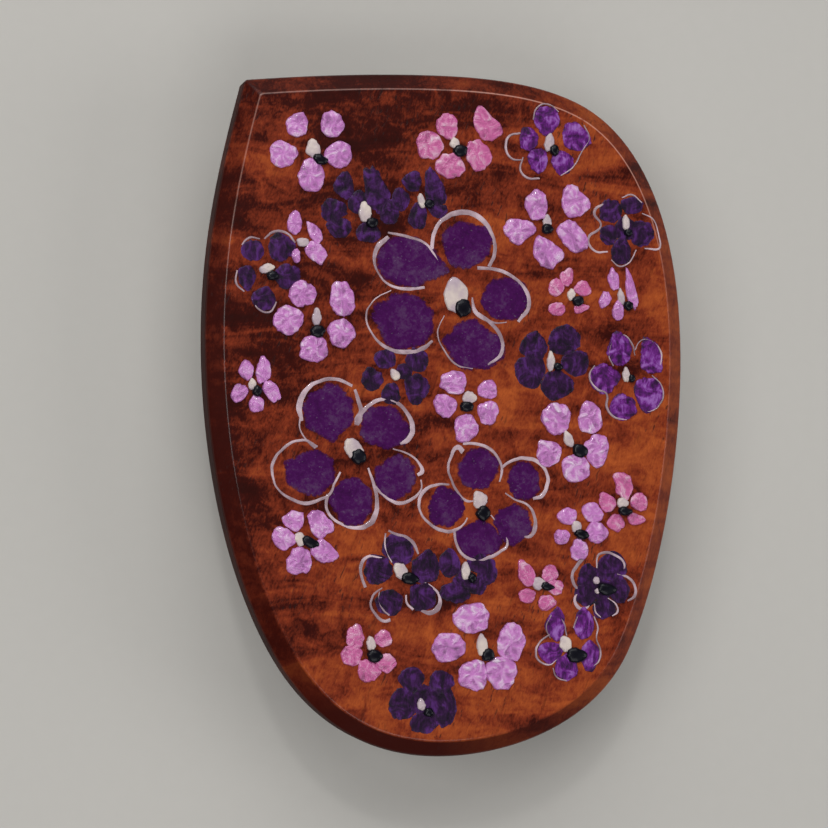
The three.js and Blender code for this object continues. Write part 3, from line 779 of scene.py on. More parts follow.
FLOWERS = {
    "violet_flower_top": dict(
        petals=[(-4.9, 16.7, 7.8, 5.7, -8, -8), (1.6, 18.8, 6.2, 5.6), (6.1, 13.0, 5.5, 5.3),
                (2.25, 7.8, 6.6, 5.3, -28), (-5.45, 10.3, 7.4, 6.4)],
        light=[(0.35, 13.1, 3.1, 4.1, 0, 95)],
        dark=[(1.15, 11.8, 1.9, 2.1)],
        lines=[
            [(-7.4, 20, 0.2), (-5.2, 19.6, 0.35), (-3, 18.8, 0.3), (-2.2, 17.8, 0.35),
             (-1.5, 16.8, 0.2)],
            [(-7.3, 19.5, 0.45), (-8.5, 18.4, 0.6), (-8.9, 17, 0.35), (-8.4, 15.4, 0.2),
             (-7.2, 14.2, 0.25), (-5.2, 13.8, 0.35), (-3.2, 14, 0.3)],
            [(-2.3, 17.5, 0.3), (-2.3, 19, 0.4), (-1.9, 20.6, 0.4), (-0.8, 21.8, 0.5),
             (1.2, 22.5, 0.6), (3.2, 21.9, 0.6), (4.6, 20, 0.45), (4.9, 18, 0.4), (4.2, 16.5, 0.4)],
            [(2.9, 16.3, 0.35), (5, 16.2, 0.4), (7, 15.4, 0.35), (8.6, 13.7, 0.5), (8.8, 12, 0.5),
             (7.6, 10.4, 0.35)],
            [(2.3, 13, 0.15), (2.6, 11.5, 0.5), (4, 10.5, 0.35), (5.2, 10.2, 0.15),
             (6.3, 10.3, 0.1)],
            [(-0.9, 10.9, 0.1), (-1.7, 9, 0.15), (-0.9, 7, 0.2), (0.6, 5.4, 0.25),
             (2.3, 5.1, 0.15)],
            [(2.9, 11.2, 0.45), (4.4, 10.2, 0.4), (5.6, 8.6, 0.45), (5.6, 6.8, 0.5),
             (4.1, 5.5, 0.3)],
            [(-7, 13.6, 0.12), (-8.8, 12.6, 0.12), (-9.8, 10.8, 0.2), (-9.1, 8.7, 0.2),
             (-7.6, 7.3, 0.4), (-5.4, 6.8, 0.5), (-3.4, 7.2, 0.5), (-2.3, 8.1, 0.25)],
        ],
    ),
    "violet_flower_left": dict(
        petals=[(-13.9, 0.1, 5.6, 6.2), (-16.0, -6.6, 6.0, 5.4), (-11.3, -9.6, 4.8, 5.4),
                (-6.6, -7.1, 4.9, 5.1), (-7.9, -1.6, 5.7, 4.9)],
        light=[(-11.3, -3.9, 2.1, 2.7, 30)],
        dark=[(-10.7, -4.8, 1.6, 1.8)],
        lines=[
            [(-17.0, -0.9, 0.3), (-17.3, 0.6, 0.7), (-16.6, 2.4, 0.55), (-15, 3.5, 0.35),
             (-13.2, 3.7, 0.35), (-11.4, 3, 0.3)],
            [(-17.2, -0.6, 0.2), (-17.2, -1.8, 0.15), (-16.4, -3.1, 0.2), (-15.5, -3.9, 0.3)],
            [(-11.1, 2.6, 0.3), (-10.7, 1.4, 0.45), (-10.4, 0.2, 0.5), (-10.7, -0.7, 0.9),
             (-10.9, -1.3, 0.5)],
            [(-15.3, -3.7, 0.25), (-16.9, -3, 0.3), (-19, -3.9, 0.3), (-20.2, -5.5, 0.35),
             (-20.2, -7.1, 0.25), (-19.6, -8.4, 0.2), (-18, -9.5, 0.35), (-16.5, -9.9, 0.4),
             (-15, -9.5, 0.35), (-13.9, -8.9, 0.3), (-13.4, -7.8, 0.25), (-12.7, -6.5, 0.2)],
            [(-14.1, -8.9, 0.35), (-14.3, -10.2, 0.3), (-13.8, -11.3, 0.3), (-12.5, -12.2, 0.3),
             (-11, -12.6, 0.4), (-9.5, -12.2, 0.6), (-8.8, -11.2, 0.6), (-8.6, -9.5, 0.4),
             (-8.9, -8, 0.35), (-9.6, -6, 0.2)],
            [(-8.8, -8.1, 0.4), (-8, -8.9, 0.3), (-7, -9.6, 0.35), (-6, -9.9, 0.45),
             (-4.6, -9.4, 0.3), (-3.6, -8.4, 0.2), (-3.6, -7.3, 0.15)],
            [(-6.8, -3.9, 0.15), (-5, -4.5, 0.2), (-3.9, -5.4, 0.25), (-3.5, -6.5, 0.5),
             (-4.0, -6.8, 0.3)],
            [(-10.5, -0.3, 0.45), (-9.6, 0.8, 0.45), (-8.2, 1.5, 0.4), (-6.6, 1.3, 0.4),
             (-5.3, 0.2, 0.4), (-4.6, -1.4, 0.55), (-5, -2.8, 0.6), (-6, -3.3, 0.4)],
        ],
    ),
    "violet_flower_middle": dict(
        petals=[(2.9, -6.2, 4.7, 4.9), (8.2, -7.4, 4.0, 4.5), (6.9, -12.2, 4.4, 4.5),
                (3.0, -13.9, 5.5, 4.3), (-0.7, -10.3, 4.4, 4.6)],
        light=[(3.2, -9.6, 1.9, 2.1, -20, 120)],
        dark=[(3.5, -11.0, 1.6, 1.7)],
        lines=[
            [(1.2, -4.2, 0.6), (0.6, -3.7, 0.5), (-0.2, -4.9, 0.3), (-0.5, -6, 0.25),
             (-0.1, -7.4, 0.25), (0.6, -8.7, 0.3), (1.5, -9.6, 0.3), (2.4, -9.7, 0.15)],
            [(1.2, -3.3, 0.3), (2.5, -3.3, 0.35), (4.2, -3.8, 0.35), (5.2, -4.8, 0.3),
             (5.7, -6.2, 0.3), (5.4, -7.5, 0.15)],
            [(5.7, -5.9, 0.3), (7, -5.1, 0.35), (8.5, -4.9, 0.4), (9.9, -5.3, 0.45),
             (10.9, -6.5, 0.35), (11, -7.8, 0.45), (10.3, -9.1, 0.5), (9.3, -9.4, 0.3)],
            [(6.1, -8.8, 0.15), (7.2, -9.5, 0.2), (8.8, -10.2, 0.25), (9.5, -11.5, 0.35),
             (9.5, -12.8, 0.5), (9, -13.6, 0.4), (8.1, -13.6, 0.2)],
            [(0.2, -13, 0.3), (0.5, -14.5, 0.3), (1.3, -15.7, 0.35), (2.5, -16.2, 0.4),
             (4, -16, 0.4), (5.5, -15.3, 0.35), (6.3, -14.6, 0.3), (6.1, -13.5, 0.2),
             (5.3, -12.3, 0.2), (4.4, -11.2, 0.12)],
            [(-0.4, -7.8, 0.2), (-2, -7.9, 0.3), (-3.3, -8.6, 0.45), (-3.8, -9.6, 0.35),
             (-3.6, -11, 0.25), (-2.8, -12, 0.3), (-1.3, -12.9, 0.4), (0.3, -12.9, 0.35),
             (1.3, -12.2, 0.2), (1.7, -11.5, 0.12)],
        ],
    ),
    "orchid_flower_corner": dict(
        petals=[(-17.55, 31.5, 2.4, 2.7), (-13.7, 31.7, 2.65, 3.0), (-19.1, 28.3, 3.0, 2.9),
                (-13.0, 28.55, 3.2, 3.05), (-16.0, 26.1, 3.1, 3.6)],
        light=[(-15.8, 28.9, 1.8, 2.2, 0, 100)],
        dark=[(-15.1, 27.8, 1.6, 1.2, -20)],
    ),
    "plum_flower_high": dict(
        petals=[(-12.3, 25.0, 2.2, 2.7), (-8.9, 24.6, 2.2, 4.8, 12), (-13.5, 22.3, 2.7, 2.3),
                (-12.8, 20.4, 2.6, 2.2), (-9.6, 19.9, 2.7, 2.0), (-7.3, 22.3, 2.3, 2.6),
                (-10.6, 23.2, 2.4, 2.4)],
        light=[(-10.0, 22.1, 1.7, 2.5, 0, 95)],
        dark=[(-9.2, 21.0, 1.4, 1.2)],
    ),
    "orchid_flower_bud": dict(
        petals=[(-17.85, 20.6, 1.7, 2.3, 0, 95), (-15.6, 19.65, 1.4, 2.4, 35, 115),
                (-15.6, 17.6, 1.9, 2.7, 40), (-17.7, 17.2, 1.0, 1.6)],
        light=[(-16.95, 18.65, 1.5, 1.2, 0, 150)],
        dark=[],
    ),
    "plum_flower_left": dict(
        petals=[(-22.5, 17.6, 2.3, 2.1), (-19.4, 18.0, 2.8, 2.8), (-23.1, 14.7, 1.9, 2.3),
                (-21.2, 12.4, 2.4, 2.4), (-18.7, 14.9, 2.6, 2.7)],
        light=[(-21.0, 15.7, 1.9, 1.2, 20)],
        dark=[(-20.35, 14.9, 1.3, 1.1)],
        lines=[
            [(-23.7, 18.2, 0.15), (-22.9, 19.0, 0.25), (-21.7, 18.9, 0.15)],
            [(-21.2, 18.9, 0.15), (-20.2, 19.7, 0.3), (-18.7, 19.6, 0.25), (-17.8, 18.6, 0.2)],
            [(-24.2, 15.4, 0.15), (-24.3, 14.0, 0.25), (-23.4, 13.1, 0.15)],
            [(-22.5, 12.3, 0.12), (-21.8, 11.2, 0.2), (-20.5, 11.0, 0.25), (-19.9, 12.1, 0.15)],
        ],
    ),
    "orchid_flower_left": dict(
        petals=[(-17.0, 12.9, 3.0, 3.0), (-18.45, 10.15, 3.3, 3.1), (-12.55, 12.5, 2.8, 4.0),
                (-12.7, 8.8, 3.0, 3.2), (-15.7, 7.1, 3.2, 3.2)],
        light=[(-15.4, 10.4, 1.2, 2.0, 0, 90)],
        dark=[(-15.3, 8.9, 1.7, 1.4)],
    ),
    "orchid_flower_edge": dict(
        petals=[(-23.15, 4.45, 1.6, 2.0, 0, 110), (-21.35, 4.4, 1.6, 2.8, -8, 95),
                (-20.5, 2.3, 1.5, 2.6, 30), (-24.0, 2.1, 1.6, 2.2, -20), (-22.05, 0.95, 1.7, 1.9)],
        light=[(-22.5, 3.0, 1.0, 1.4, 0, 100)],
        dark=[(-22.0, 2.3, 1.0, 1.3)],
    ),
    "pink_flower_top": dict(
        petals=[(-0.55, 32.0, 2.5, 3.0), (-2.55, 29.85, 3.0, 3.2), (-0.25, 27.7, 3.2, 3.0),
                (2.8, 29.0, 2.7, 3.6, 15), (3.8, 32.35, 2.6, 4.0, 25)],
        light=[(0.25, 30.15, 1.3, 1.3, 0, 95)],
        dark=[(0.9, 29.35, 1.6, 1.4)],
    ),
    "plum_flower_top": dict(
        petals=[(-4.55, 25.7, 2.0, 2.1), (-2.2, 24.6, 1.9, 4.6, 8), (-5.9, 23.7, 1.8, 2.5),
                (-3.95, 21.9, 2.0, 2.7), (-1.6, 22.6, 2.0, 1.6)],
        light=[(-3.55, 23.5, 1.0, 1.8, 15, 100)],
        dark=[(-2.7, 23.3, 1.1, 1.1)],
    ),
    "iris_flower_top": dict(
        petals=[(11.0, 33.1, 3.0, 3.4), (14.25, 31.45, 2.9, 3.4, 30), (8.9, 31.0, 2.2, 2.7),
                (10.0, 28.7, 2.3, 2.7), (12.7, 28.5, 2.3, 2.9, 20)],
        light=[(11.3, 30.6, 1.3, 2.2, -10, 100)],
        dark=[(11.85, 29.8, 1.1, 1.2)],
        lines=[
            [(9.4, 33.2, 0.12), (9.8, 34.5, 0.18), (11.2, 35, 0.15), (12.4, 34.2, 0.12)],
            [(7.9, 31.6, 0.2), (6.6, 31.2, 0.3), (6.2, 29.9, 0.3), (6.9, 28.7, 0.25),
             (8.2, 28.6, 0.15)],
            [(8.2, 28.9, 0.15), (7.9, 27.5, 0.25), (8.7, 26.6, 0.3), (10.1, 26.6, 0.2)],
            [(15.4, 32.8, 0.12), (16, 31.4, 0.2), (15.2, 29.9, 0.15), (14, 27.9, 0.2),
             (12.6, 27, 0.12)],
        ],
    ),
    "orchid_flower_right": dict(
        petals=[(9.8, 23.5, 2.7, 3.5), (14.1, 24.0, 2.9, 3.9, 10), (7.65, 20.7, 3.3, 3.0, 10),
                (13.85, 20.1, 2.7, 4.1, 32), (10.9, 18.3, 2.9, 4.0, 32)],
        light=[(11.0, 21.7, 1.2, 1.6, 0, 90)],
        dark=[(11.0, 20.9, 1.3, 1.2)],
    ),
    "plum_flower_right": dict(
        petals=[(18.6, 23.1, 2.5, 2.5), (21.1, 23.8, 2.4, 1.9), (22.2, 20.7, 2.7, 2.9),
                (19.8, 18.7, 2.3, 2.9), (18.3, 20.4, 2.0, 2.1), (20.4, 21.2, 2.6, 2.4)],
        light=[(20.35, 21.8, 1.0, 1.9, 0, 95)],
        dark=[(20.6, 20.7, 1.0, 0.9)],
        lines=[
            [(18, 24.1, 0.2), (16.6, 23, 0.35), (17.4, 21.4, 0.2), (15.9, 20, 0.3),
             (16.6, 18.6, 0.25), (18.2, 18.5, 0.15)],
            [(19.9, 24.7, 0.12), (21, 25.1, 0.2), (22.3, 24.2, 0.15)],
            [(22.3, 23, 0.12), (23.9, 22.2, 0.2), (24.4, 20.6, 0.2), (24.5, 19.2, 0.3),
             (22.6, 19, 0.15)],
            [(18.6, 17.6, 0.12), (19.6, 16.9, 0.2), (20.8, 17.4, 0.15), (21.6, 18.8, 0.12)],
        ],
    ),
    "pink_flower_right": dict(
        petals=[(12.05, 14.3, 1.7, 2.1, -20), (13.3, 15.4, 1.6, 1.9, 0, 60),
                (15.15, 14.25, 2.0, 1.8), (12.2, 11.9, 2.0, 1.6), (14.9, 12.0, 1.6, 1.1, 15)],
        light=[(13.8, 13.55, 1.0, 1.6, -10)],
        dark=[(14.6, 12.85, 1.4, 1.2)],
    ),
    "orchid_flower_rim": dict(
        petals=[(18.9, 15.2, 1.3, 2.4, 10, 100), (21.0, 13.9, 1.3, 4.2, 12, 100),
                (17.8, 13.1, 1.3, 2.0, -15), (19.4, 11.8, 1.3, 2.3)],
        light=[(19.75, 13.3, 0.9, 2.0, 10, 95)],
        dark=[(20.6, 12.4, 1.1, 1.1)],
    ),
    "plum_flower_middle": dict(
        petals=[(13.0, 8.3, 3.5, 3.1), (9.5, 7.6, 3.0, 2.9), (9.1, 4.9, 3.4, 3.4),
                (12.1, 3.4, 3.4, 2.9, 0, 265), (14.3, 5.9, 3.1, 2.6)],
        light=[(11.4, 5.9, 1.1, 2.2, 0, 95)],
        dark=[(12.2, 5.4, 1.0, 0.9, -30)],
    ),
    "iris_flower_right": dict(
        petals=[(19.6, 7.3, 3.0, 3.4, 0, 100), (23.3, 6.5, 2.8, 3.9, 10, 110),
                (22.9, 2.5, 3.3, 4.0), (19.9, 1.0, 3.3, 2.9), (17.7, 4.1, 3.3, 3.3, 30)],
        light=[(20.3, 4.5, 1.0, 1.7, 0, 95)],
        dark=[(20.95, 4.2, 0.8, 0.9)],
        lines=[
            [(18.8, 5.6, 0.15), (18.3, 6.8, 0.15), (18.8, 8.3, 0.12), (19.9, 9.1, 0.15),
             (21, 8.2, 0.2), (21.4, 6.8, 0.12)],
            [(21.4, 7.4, 0.15), (22.1, 8.5, 0.12), (23.3, 8.5, 0.15), (24.5, 7.2, 0.25),
             (24.4, 5.4, 0.15)],
            [(23.4, 4.6, 0.12), (24.6, 3.3, 0.2), (24.5, 1.5, 0.2), (23.2, 0.5, 0.15),
             (22.3, 0.6, 0.12)],
            [(16.6, 5.6, 0.12), (16.0, 4.4, 0.25), (16.8, 3.0, 0.3), (18, 2.4, 0.25),
             (18, 1.0, 0.3), (18.9, -0.2, 0.25), (20.4, -0.5, 0.15)],
        ],
    ),
    "plum_flower_heart": dict(
        petals=[(-7.65, 6.0, 2.4, 2.1), (-4.15, 5.9, 2.5, 2.4), (-4.3, 2.8, 2.2, 3.2, 10),
                (-9.1, 3.7, 2.3, 2.3), (-7.0, 2.2, 2.0, 2.2), (-5.6, 4.6, 1.8, 1.6)],
        light=[(-6.55, 4.2, 1.1, 1.4, 30, 120)],
        dark=[],
    ),
    "orchid_flower_middle": dict(
        petals=[(0.15, 3.5, 3.3, 2.7), (-0.8, 0.95, 2.7, 2.6), (4.1, 2.75, 2.2, 2.2),
                (4.05, 0.2, 2.4, 2.8), (1.5, -1.4, 2.8, 2.9, 0, 255)],
        light=[(1.85, 1.8, 1.7, 1.6, 30)],
        dark=[(1.6, 0.8, 1.6, 1.2)],
    ),
    "orchid_flower_low": dict(
        petals=[(-17.9, -11.8, 2.4, 2.3), (-15.1, -12.2, 2.3, 3.4, 30),
                (-19.0, -13.7, 2.3, 2.8, 30), (-14.7, -15.2, 2.3, 3.0, 50),
                (-17.2, -16.2, 2.9, 3.0)],
        light=[(-17.2, -13.8, 1.4, 1.8, 15)],
        dark=[(-16.2, -14.1, 1.9, 1.2, -30)],
    ),
    "plum_flower_low": dict(
        petals=[(-6.1, -15.0, 3.5, 3.3), (-8.5, -17.2, 3.0, 2.9), (-3.1, -17.0, 3.1, 3.1),
                (-7.2, -20.7, 2.7, 2.7), (-3.5, -20.2, 2.9, 2.9)],
        light=[(-5.9, -17.4, 1.6, 2.2, 20, 130)],
        dark=[(-5.0, -18.2, 1.9, 1.4, -15)],
        lines=[
            [(-7.3, -12.9, 0.25), (-6.5, -13.3, 0.3), (-5.4, -13.6, 0.4), (-4.5, -14.3, 0.45),
             (-3.9, -15.5, 0.2)],
            [(-7.6, -13.2, 0.2), (-7.7, -14.5, 0.25), (-7.4, -15.5, 0.2), (-6.9, -16.4, 0.15)],
            [(-8, -15.9, 0.2), (-9.7, -15.8, 0.35), (-10.4, -16.8, 0.4), (-10.3, -18, 0.3),
             (-9.9, -19.1, 0.35)],
            [(-8, -19.2, 0.15), (-9, -20, 0.25), (-9.3, -21, 0.25), (-8.8, -22, 0.3),
             (-7.9, -22.8, 0.35), (-7.1, -22.7, 0.4)],
            [(-8.3, -19.6, 0.12), (-8.4, -20.6, 0.18), (-7.8, -21.7, 0.25), (-7.2, -22.2, 0.2)],
            [(-5.3, -20, 0.2), (-5.2, -20.9, 0.25), (-4.5, -21.6, 0.3)],
            [(-3.7, -18.4, 0.12), (-2.4, -19.1, 0.2), (-1.5, -20.2, 0.3), (-1.7, -21.5, 0.6),
             (-2.6, -22, 0.5), (-3.6, -21.7, 0.3)],
        ],
    ),
    "plum_flower_tucked": dict(
        petals=[(-0.3, -16.6, 2.3, 2.9), (3.0, -16.6, 2.6, 2.2), (3.9, -17.5, 2.1, 2.7),
                (2.8, -19.0, 2.0, 2.0), (0.3, -19.8, 3.2, 2.3), (1.4, -18.4, 2.4, 2.0)],
        light=[(1.5, -17.5, 1.2, 2.0, 0, 95)],
        dark=[(2.2, -18.2, 1.0, 1.0)],
    ),
    "orchid_flower_side": dict(
        petals=[(12.1, -0.4, 3.3, 3.8), (16.0, -0.4, 2.9, 3.8), (11.2, -4.2, 3.0, 3.0),
                (16.8, -3.9, 2.9, 3.6), (14.3, -5.9, 3.3, 3.3)],
        light=[(13.5, -2.8, 1.2, 2.0, 25, 115)],
        dark=[(14.7, -4.0, 1.5, 1.8, 35)],
    ),
    "pink_flower_rim": dict(
        petals=[(20.0, -8.0, 2.2, 3.1, 10, 125), (18.1, -9.9, 2.1, 2.0, 0, 130),
                (21.8, -9.8, 2.0, 2.1), (21.3, -11.7, 1.9, 1.4, -10), (19.1, -12.1, 2.0, 1.9)],
        light=[(19.8, -9.9, 1.3, 1.5, 15)],
        dark=[(20.0, -10.8, 1.5, 1.0, -15)],
    ),
    "orchid_flower_small": dict(
        petals=[(13.4, -11.4, 2.2, 2.0), (16.3, -11.0, 2.4, 2.3, 0, 150), (12.7, -13.7, 1.9, 1.8),
                (16.6, -13.2, 2.3, 2.5, 20), (14.7, -15.1, 2.2, 2.5)],
        light=[(14.4, -12.6, 1.3, 1.5, 0, 110)],
        dark=[(14.9, -13.4, 1.6, 1.1, -20)],
    ),
    "pink_flower_low": dict(
        petals=[(8.6, -17.9, 2.0, 2.7, 25, 120), (11.2, -17.8, 1.9, 2.0), (11.8, -19.3, 2.0, 1.8),
                (8.6, -20.2, 2.0, 1.7), (10.9, -21.0, 2.1, 1.8)],
        light=[(9.9, -18.9, 1.7, 1.7, 30)],
        dark=[(10.8, -19.2, 1.5, 0.9, -15)],
    ),
    "plum_flower_rim": dict(
        petals=[(18.6, -17.2, 3.2, 3.0), (15.9, -18.3, 2.7, 2.7), (15.6, -20.1, 2.5, 2.5),
                (19.3, -19.7, 2.3, 2.9), (17.6, -21.7, 2.5, 2.3), (17.3, -19.6, 2.4, 2.4)],
        light=[(16.7, -18.6, 0.9, 1.0), (16.8, -19.8, 0.7, 0.7)],
        dark=[(17.8, -19.6, 2.1, 1.4, -15)],
        lines=[
            [(15.2, -16, 0.45), (14.4, -17, 0.4), (13.9, -18, 0.35), (14.1, -19, 0.35),
             (14.6, -19.8, 0.25), (14.2, -20.5, 0.3), (14.5, -21.5, 0.4), (15.2, -21.8, 0.35),
             (16, -21.3, 0.2)],
            [(16.8, -17.2, 0.15), (16.9, -15.9, 0.25), (17.5, -15.5, 0.3), (19, -15.8, 0.35),
             (20, -16.7, 0.3), (19.9, -17.8, 0.2)],
            [(19.2, -17.9, 0.2), (20.5, -18.3, 0.3), (21.3, -19.3, 0.3), (21.2, -20.5, 0.35),
             (20.4, -20.9, 0.2)],
            [(16.5, -21.2, 0.15), (16.6, -22.1, 0.2), (17.2, -22.7, 0.15)],
            [(18.1, -20.6, 0.12), (19.1, -21.4, 0.2), (19.2, -22.2, 0.25), (18.6, -22.6, 0.15)],
        ],
    ),
    "pink_flower_left": dict(
        petals=[(-11.0, -24.6, 2.2, 2.7), (-11.4, -26.5, 2.4, 2.4), (-9.7, -28.2, 2.2, 2.7, 35),
                (-7.9, -24.8, 2.0, 1.9), (-7.7, -27.4, 2.0, 2.3, 40)],
        light=[(-9.3, -25.3, 1.2, 1.8, 10, 100)],
        dark=[(-8.9, -26.6, 1.6, 1.4, -25)],
    ),
    "plum_flower_foot": dict(
        petals=[(-4.6, -29.3, 2.6, 2.6), (-1.3, -29.7, 2.7, 2.4), (-5.6, -32.0, 3.0, 3.2),
                (-3.3, -34.0, 2.9, 2.2), (-1.0, -32.6, 2.5, 3.8), (-3.2, -31.6, 3.0, 3.0)],
        light=[(-3.6, -32.1, 1.1, 1.4, 10, 95)],
        dark=[(-2.8, -32.9, 1.1, 1.0)],
    ),
    "orchid_flower_foot": dict(
        petals=[(2.2, -22.7, 4.0, 3.5), (-0.4, -25.8, 4.0, 3.3), (6.7, -25.4, 3.5, 4.2),
                (2.3, -28.9, 3.3, 3.5), (5.6, -28.6, 3.6, 3.6)],
        light=[(3.4, -25.8, 1.5, 2.6, 5, 95)],
        dark=[(4.0, -26.7, 1.5, 1.5)],
    ),
    "iris_flower_foot": dict(
        petals=[(12.0, -23.6, 2.2, 3.2, 0, 95), (11.4, -26.5, 2.8, 2.4), (15.2, -23.6, 2.5, 3.4),
                (15.9, -27, 2.2, 3.4), (13.2, -28.2, 2.6, 3.0)],
        light=[(13.1, -25.7, 1.6, 1.9, 20, 110)],
        dark=[(14.2, -26.9, 2.2, 1.6, -10)],
        lines=[
            [(11.4, -22.4, 0.15), (10.8, -23.8, 0.18), (11.3, -25, 0.12)],
            [(12, -22.1, 0.12), (12.9, -23.4, 0.18), (13.2, -24.7, 0.12)],
            [(11.2, -24.6, 0.2), (10, -25.5, 0.25), (9.6, -26.6, 0.25), (10, -27.5, 0.25),
             (11.3, -27.9, 0.2), (12, -27.4, 0.12)],
            [(14.5, -22.6, 0.12), (14.0, -23.9, 0.15)],
            [(16.4, -22.6, 0.15), (16.9, -24, 0.2), (16.7, -25, 0.15), (17.2, -26.5, 0.2),
             (17, -27.6, 0.2), (16, -28.4, 0.15)],
            [(11.6, -28.3, 0.12), (12, -29.3, 0.18), (13.2, -29.8, 0.15)],
        ],
    ),
}


class Painter:
    """Lays dabs and brush lines of paint on the plate, flower by flower."""

    def __init__(self, plate, paint):
        self.ground = BVHTree.FromObject(plate, bpy.context.evaluated_depsgraph_get())
        self.paint = paint
        self.seed = 0

    def level(self, x, y):
        """The plate's surface below a point, or the face's level beside the plate."""
        hit = self.ground.ray_cast(Vector((x, y, 2 * FACE_LEVEL)), Vector((0, 0, -1)))[0]
        return hit.z if hit else FACE_LEVEL

    def rim(self, edge, roughness):
        """How far out a dab's rim is at a heading: about 1."""
        waver = noise.noise(Vector((edge.x * 1.6, edge.y * 1.6, self.seed * 5.3)))
        waver += 0.6 * noise.noise(Vector((edge.x * 3.6, edge.y * 3.6, self.seed * 7.1)))
        return 1 + roughness * 2 * waver

    def ridges(self, flat, edge, out):
        """Brush ridges on a dab: folds, and a swirl that fades at the middle."""
        swirl = math.sin(3 * math.atan2(edge.y, edge.x) + 4 * out + 2.3 * self.seed)
        fold = noise.noise(Vector((flat.x * 0.7, flat.y * 0.7, self.seed * 2.9)))
        return fold + 0.6 * (swirl * min(1, 2 * out))

    def dab(self, bm, spot, height, material, spread=1.0, heart=None, roughness=0.09, ridge=0.0):
        """One dab: a low cushion with a steep, uneven edge, narrower towards the flower's heart."""
        self.seed += 1
        x, y, width, length, lean, tip = (*spot, 0, None)[:6]
        width = width * spread
        length = length * spread
        turn = Matrix.Rotation(math.radians(lean), 2)
        facets = self.paint.facets if max(width, length) < BROAD_DAB else 2 * self.paint.facets
        made = bmesh.ops.create_uvsphere(bm, u_segments=facets, v_segments=SPHERE_RINGS, radius=1)
        lower = [vertex for vertex in made["verts"] if vertex.co.z < -EQUATOR_SLACK]
        upper = [vertex for vertex in made["verts"] if vertex.co.z >= -EQUATOR_SLACK]
        bmesh.ops.delete(bm, geom=lower, context="VERTS")
        petal = bm.verts.layers.float_vector["petal"]
        breadth = bm.verts.layers.float["breadth"]
        to_heart = None
        if heart:
            inwards = math.atan2(heart[1] - y, heart[0] - x)
            to_heart = Vector((math.cos(inwards), math.sin(inwards)))
        for vertex in upper:
            flat = vertex.co.xy
            rise = max(0.0, vertex.co.z) ** STEEPNESS
            out = flat.length
            vertex[petal] = (flat.x, flat.y, self.seed)
            vertex[breadth] = min(width, length)
            edge = flat.normalized() if out > MIDDLE else Vector((0, 0))
            stretch = self.rim(edge, roughness)
            if tip is not None and out > MIDDLE:
                facing = math.cos(math.atan2(flat.y, flat.x) - math.radians(tip - lean))
                stretch += TIP_REACH * max(0.0, facing) ** TIP_SHARPNESS * out
            flat = flat * stretch
            if to_heart is not None:
                forward = flat.dot(to_heart)
                sideways = flat - to_heart * forward
                flat = to_heart * forward + sideways * (1 - TAPER * forward)
            flat = turn @ Vector((flat.x * width / 2, flat.y * length / 2))
            lift = height * rise * (1 + ridge * self.ridges(flat, edge, out))
            below = Vector((x + flat.x, y + flat.y)) * MM
            sunk = EDGE_SINK * (1 - rise)
            level = self.level(below.x, below.y)
            vertex.co = (below.x, below.y, level + (lift - sunk) * MM)
        for face in {face for vertex in upper for face in vertex.link_faces}:
            face.material_index = material

    def line(self, bm, points, height, material):
        """One brush line: a smooth, flattened bead whose width follows its points."""
        curve = bpy.data.curves.new("brush_line", "CURVE")
        curve.dimensions = "3D"
        curve.bevel_depth = MM  # times each knot's radius
        curve.bevel_resolution = 2
        curve.resolution_u = 6
        curve.use_fill_caps = True
        spline = curve.splines.new("BEZIER")
        spline.bezier_points.add(len(points) - 1)
        for knot, (x, y, width) in zip(spline.bezier_points, points):
            knot.co = (x * MM, y * MM, 0)
            knot.radius = width / 2
            knot.handle_left_type = "AUTO"
            knot.handle_right_type = "AUTO"
        holder = bpy.data.objects.new("brush_line", curve)
        bpy.context.scene.collection.objects.link(holder)
        bpy.context.view_layer.update()
        ready = holder.evaluated_get(bpy.context.evaluated_depsgraph_get())
        mesh = bpy.data.meshes.new_from_object(ready)
        before = set(bm.faces)
        bm.from_mesh(mesh)
        added = set(bm.faces) - before
        widest = max(width for _, _, width in points) / 2 * MM
        petal = bm.verts.layers.float_vector["petal"]
        for vertex in {vertex for face in added for vertex in face.verts}:
            vertex[petal] = (0, 0, self.seed)
            place = vertex.co.copy()
            waver = noise.noise(Vector((place.x / MM * 1.3, place.y / MM * 1.3, self.seed)))
            shift = waver * LINE_WAVER * MM
            lift = place.z / widest * height * MM
            level = self.level(place.x, place.y)
            vertex.co = (place.x + shift, place.y - shift, level + lift)
        for face in added:
            face.material_index = material
        bpy.data.objects.remove(holder)
        bpy.data.curves.remove(curve)
        bpy.data.meshes.remove(mesh)

    def flower(self, name, parts, finishes):
        """One flower, which rides on the plate."""
        bm = bmesh.new()
        bm.verts.layers.float_vector.new("petal")
        bm.verts.layers.float.new("breadth")
        paint = name.split("_")[0]
        heart = parts["light"][0][:2]
        thickness = THICKNESS[paint]
        spread = SPREAD[paint]
        for spot in parts["petals"]:
            self.dab(bm, spot, thickness, PETAL, spread, heart, ridge=self.paint.ridge)
        for points in parts.get("lines", []):
            self.line(bm, points, thickness + LINE_RISE, LINE)
        for spot in parts["light"]:
            self.dab(bm, spot, HEART_HEIGHT, LIGHT, HEART_SPREAD, ridge=HEART_RIDGE)
        for spot in parts["dark"]:
            self.dab(bm, spot, INK_HEIGHT, DARK)
        bmesh.ops.recalc_face_normals(bm, faces=bm.faces)
        slots = [finishes[kind] for kind in (paint, "outline", "cream", "ink")]
        piece = new_piece(name, bm, "plate", slots, smooth_under=70)
        return piece


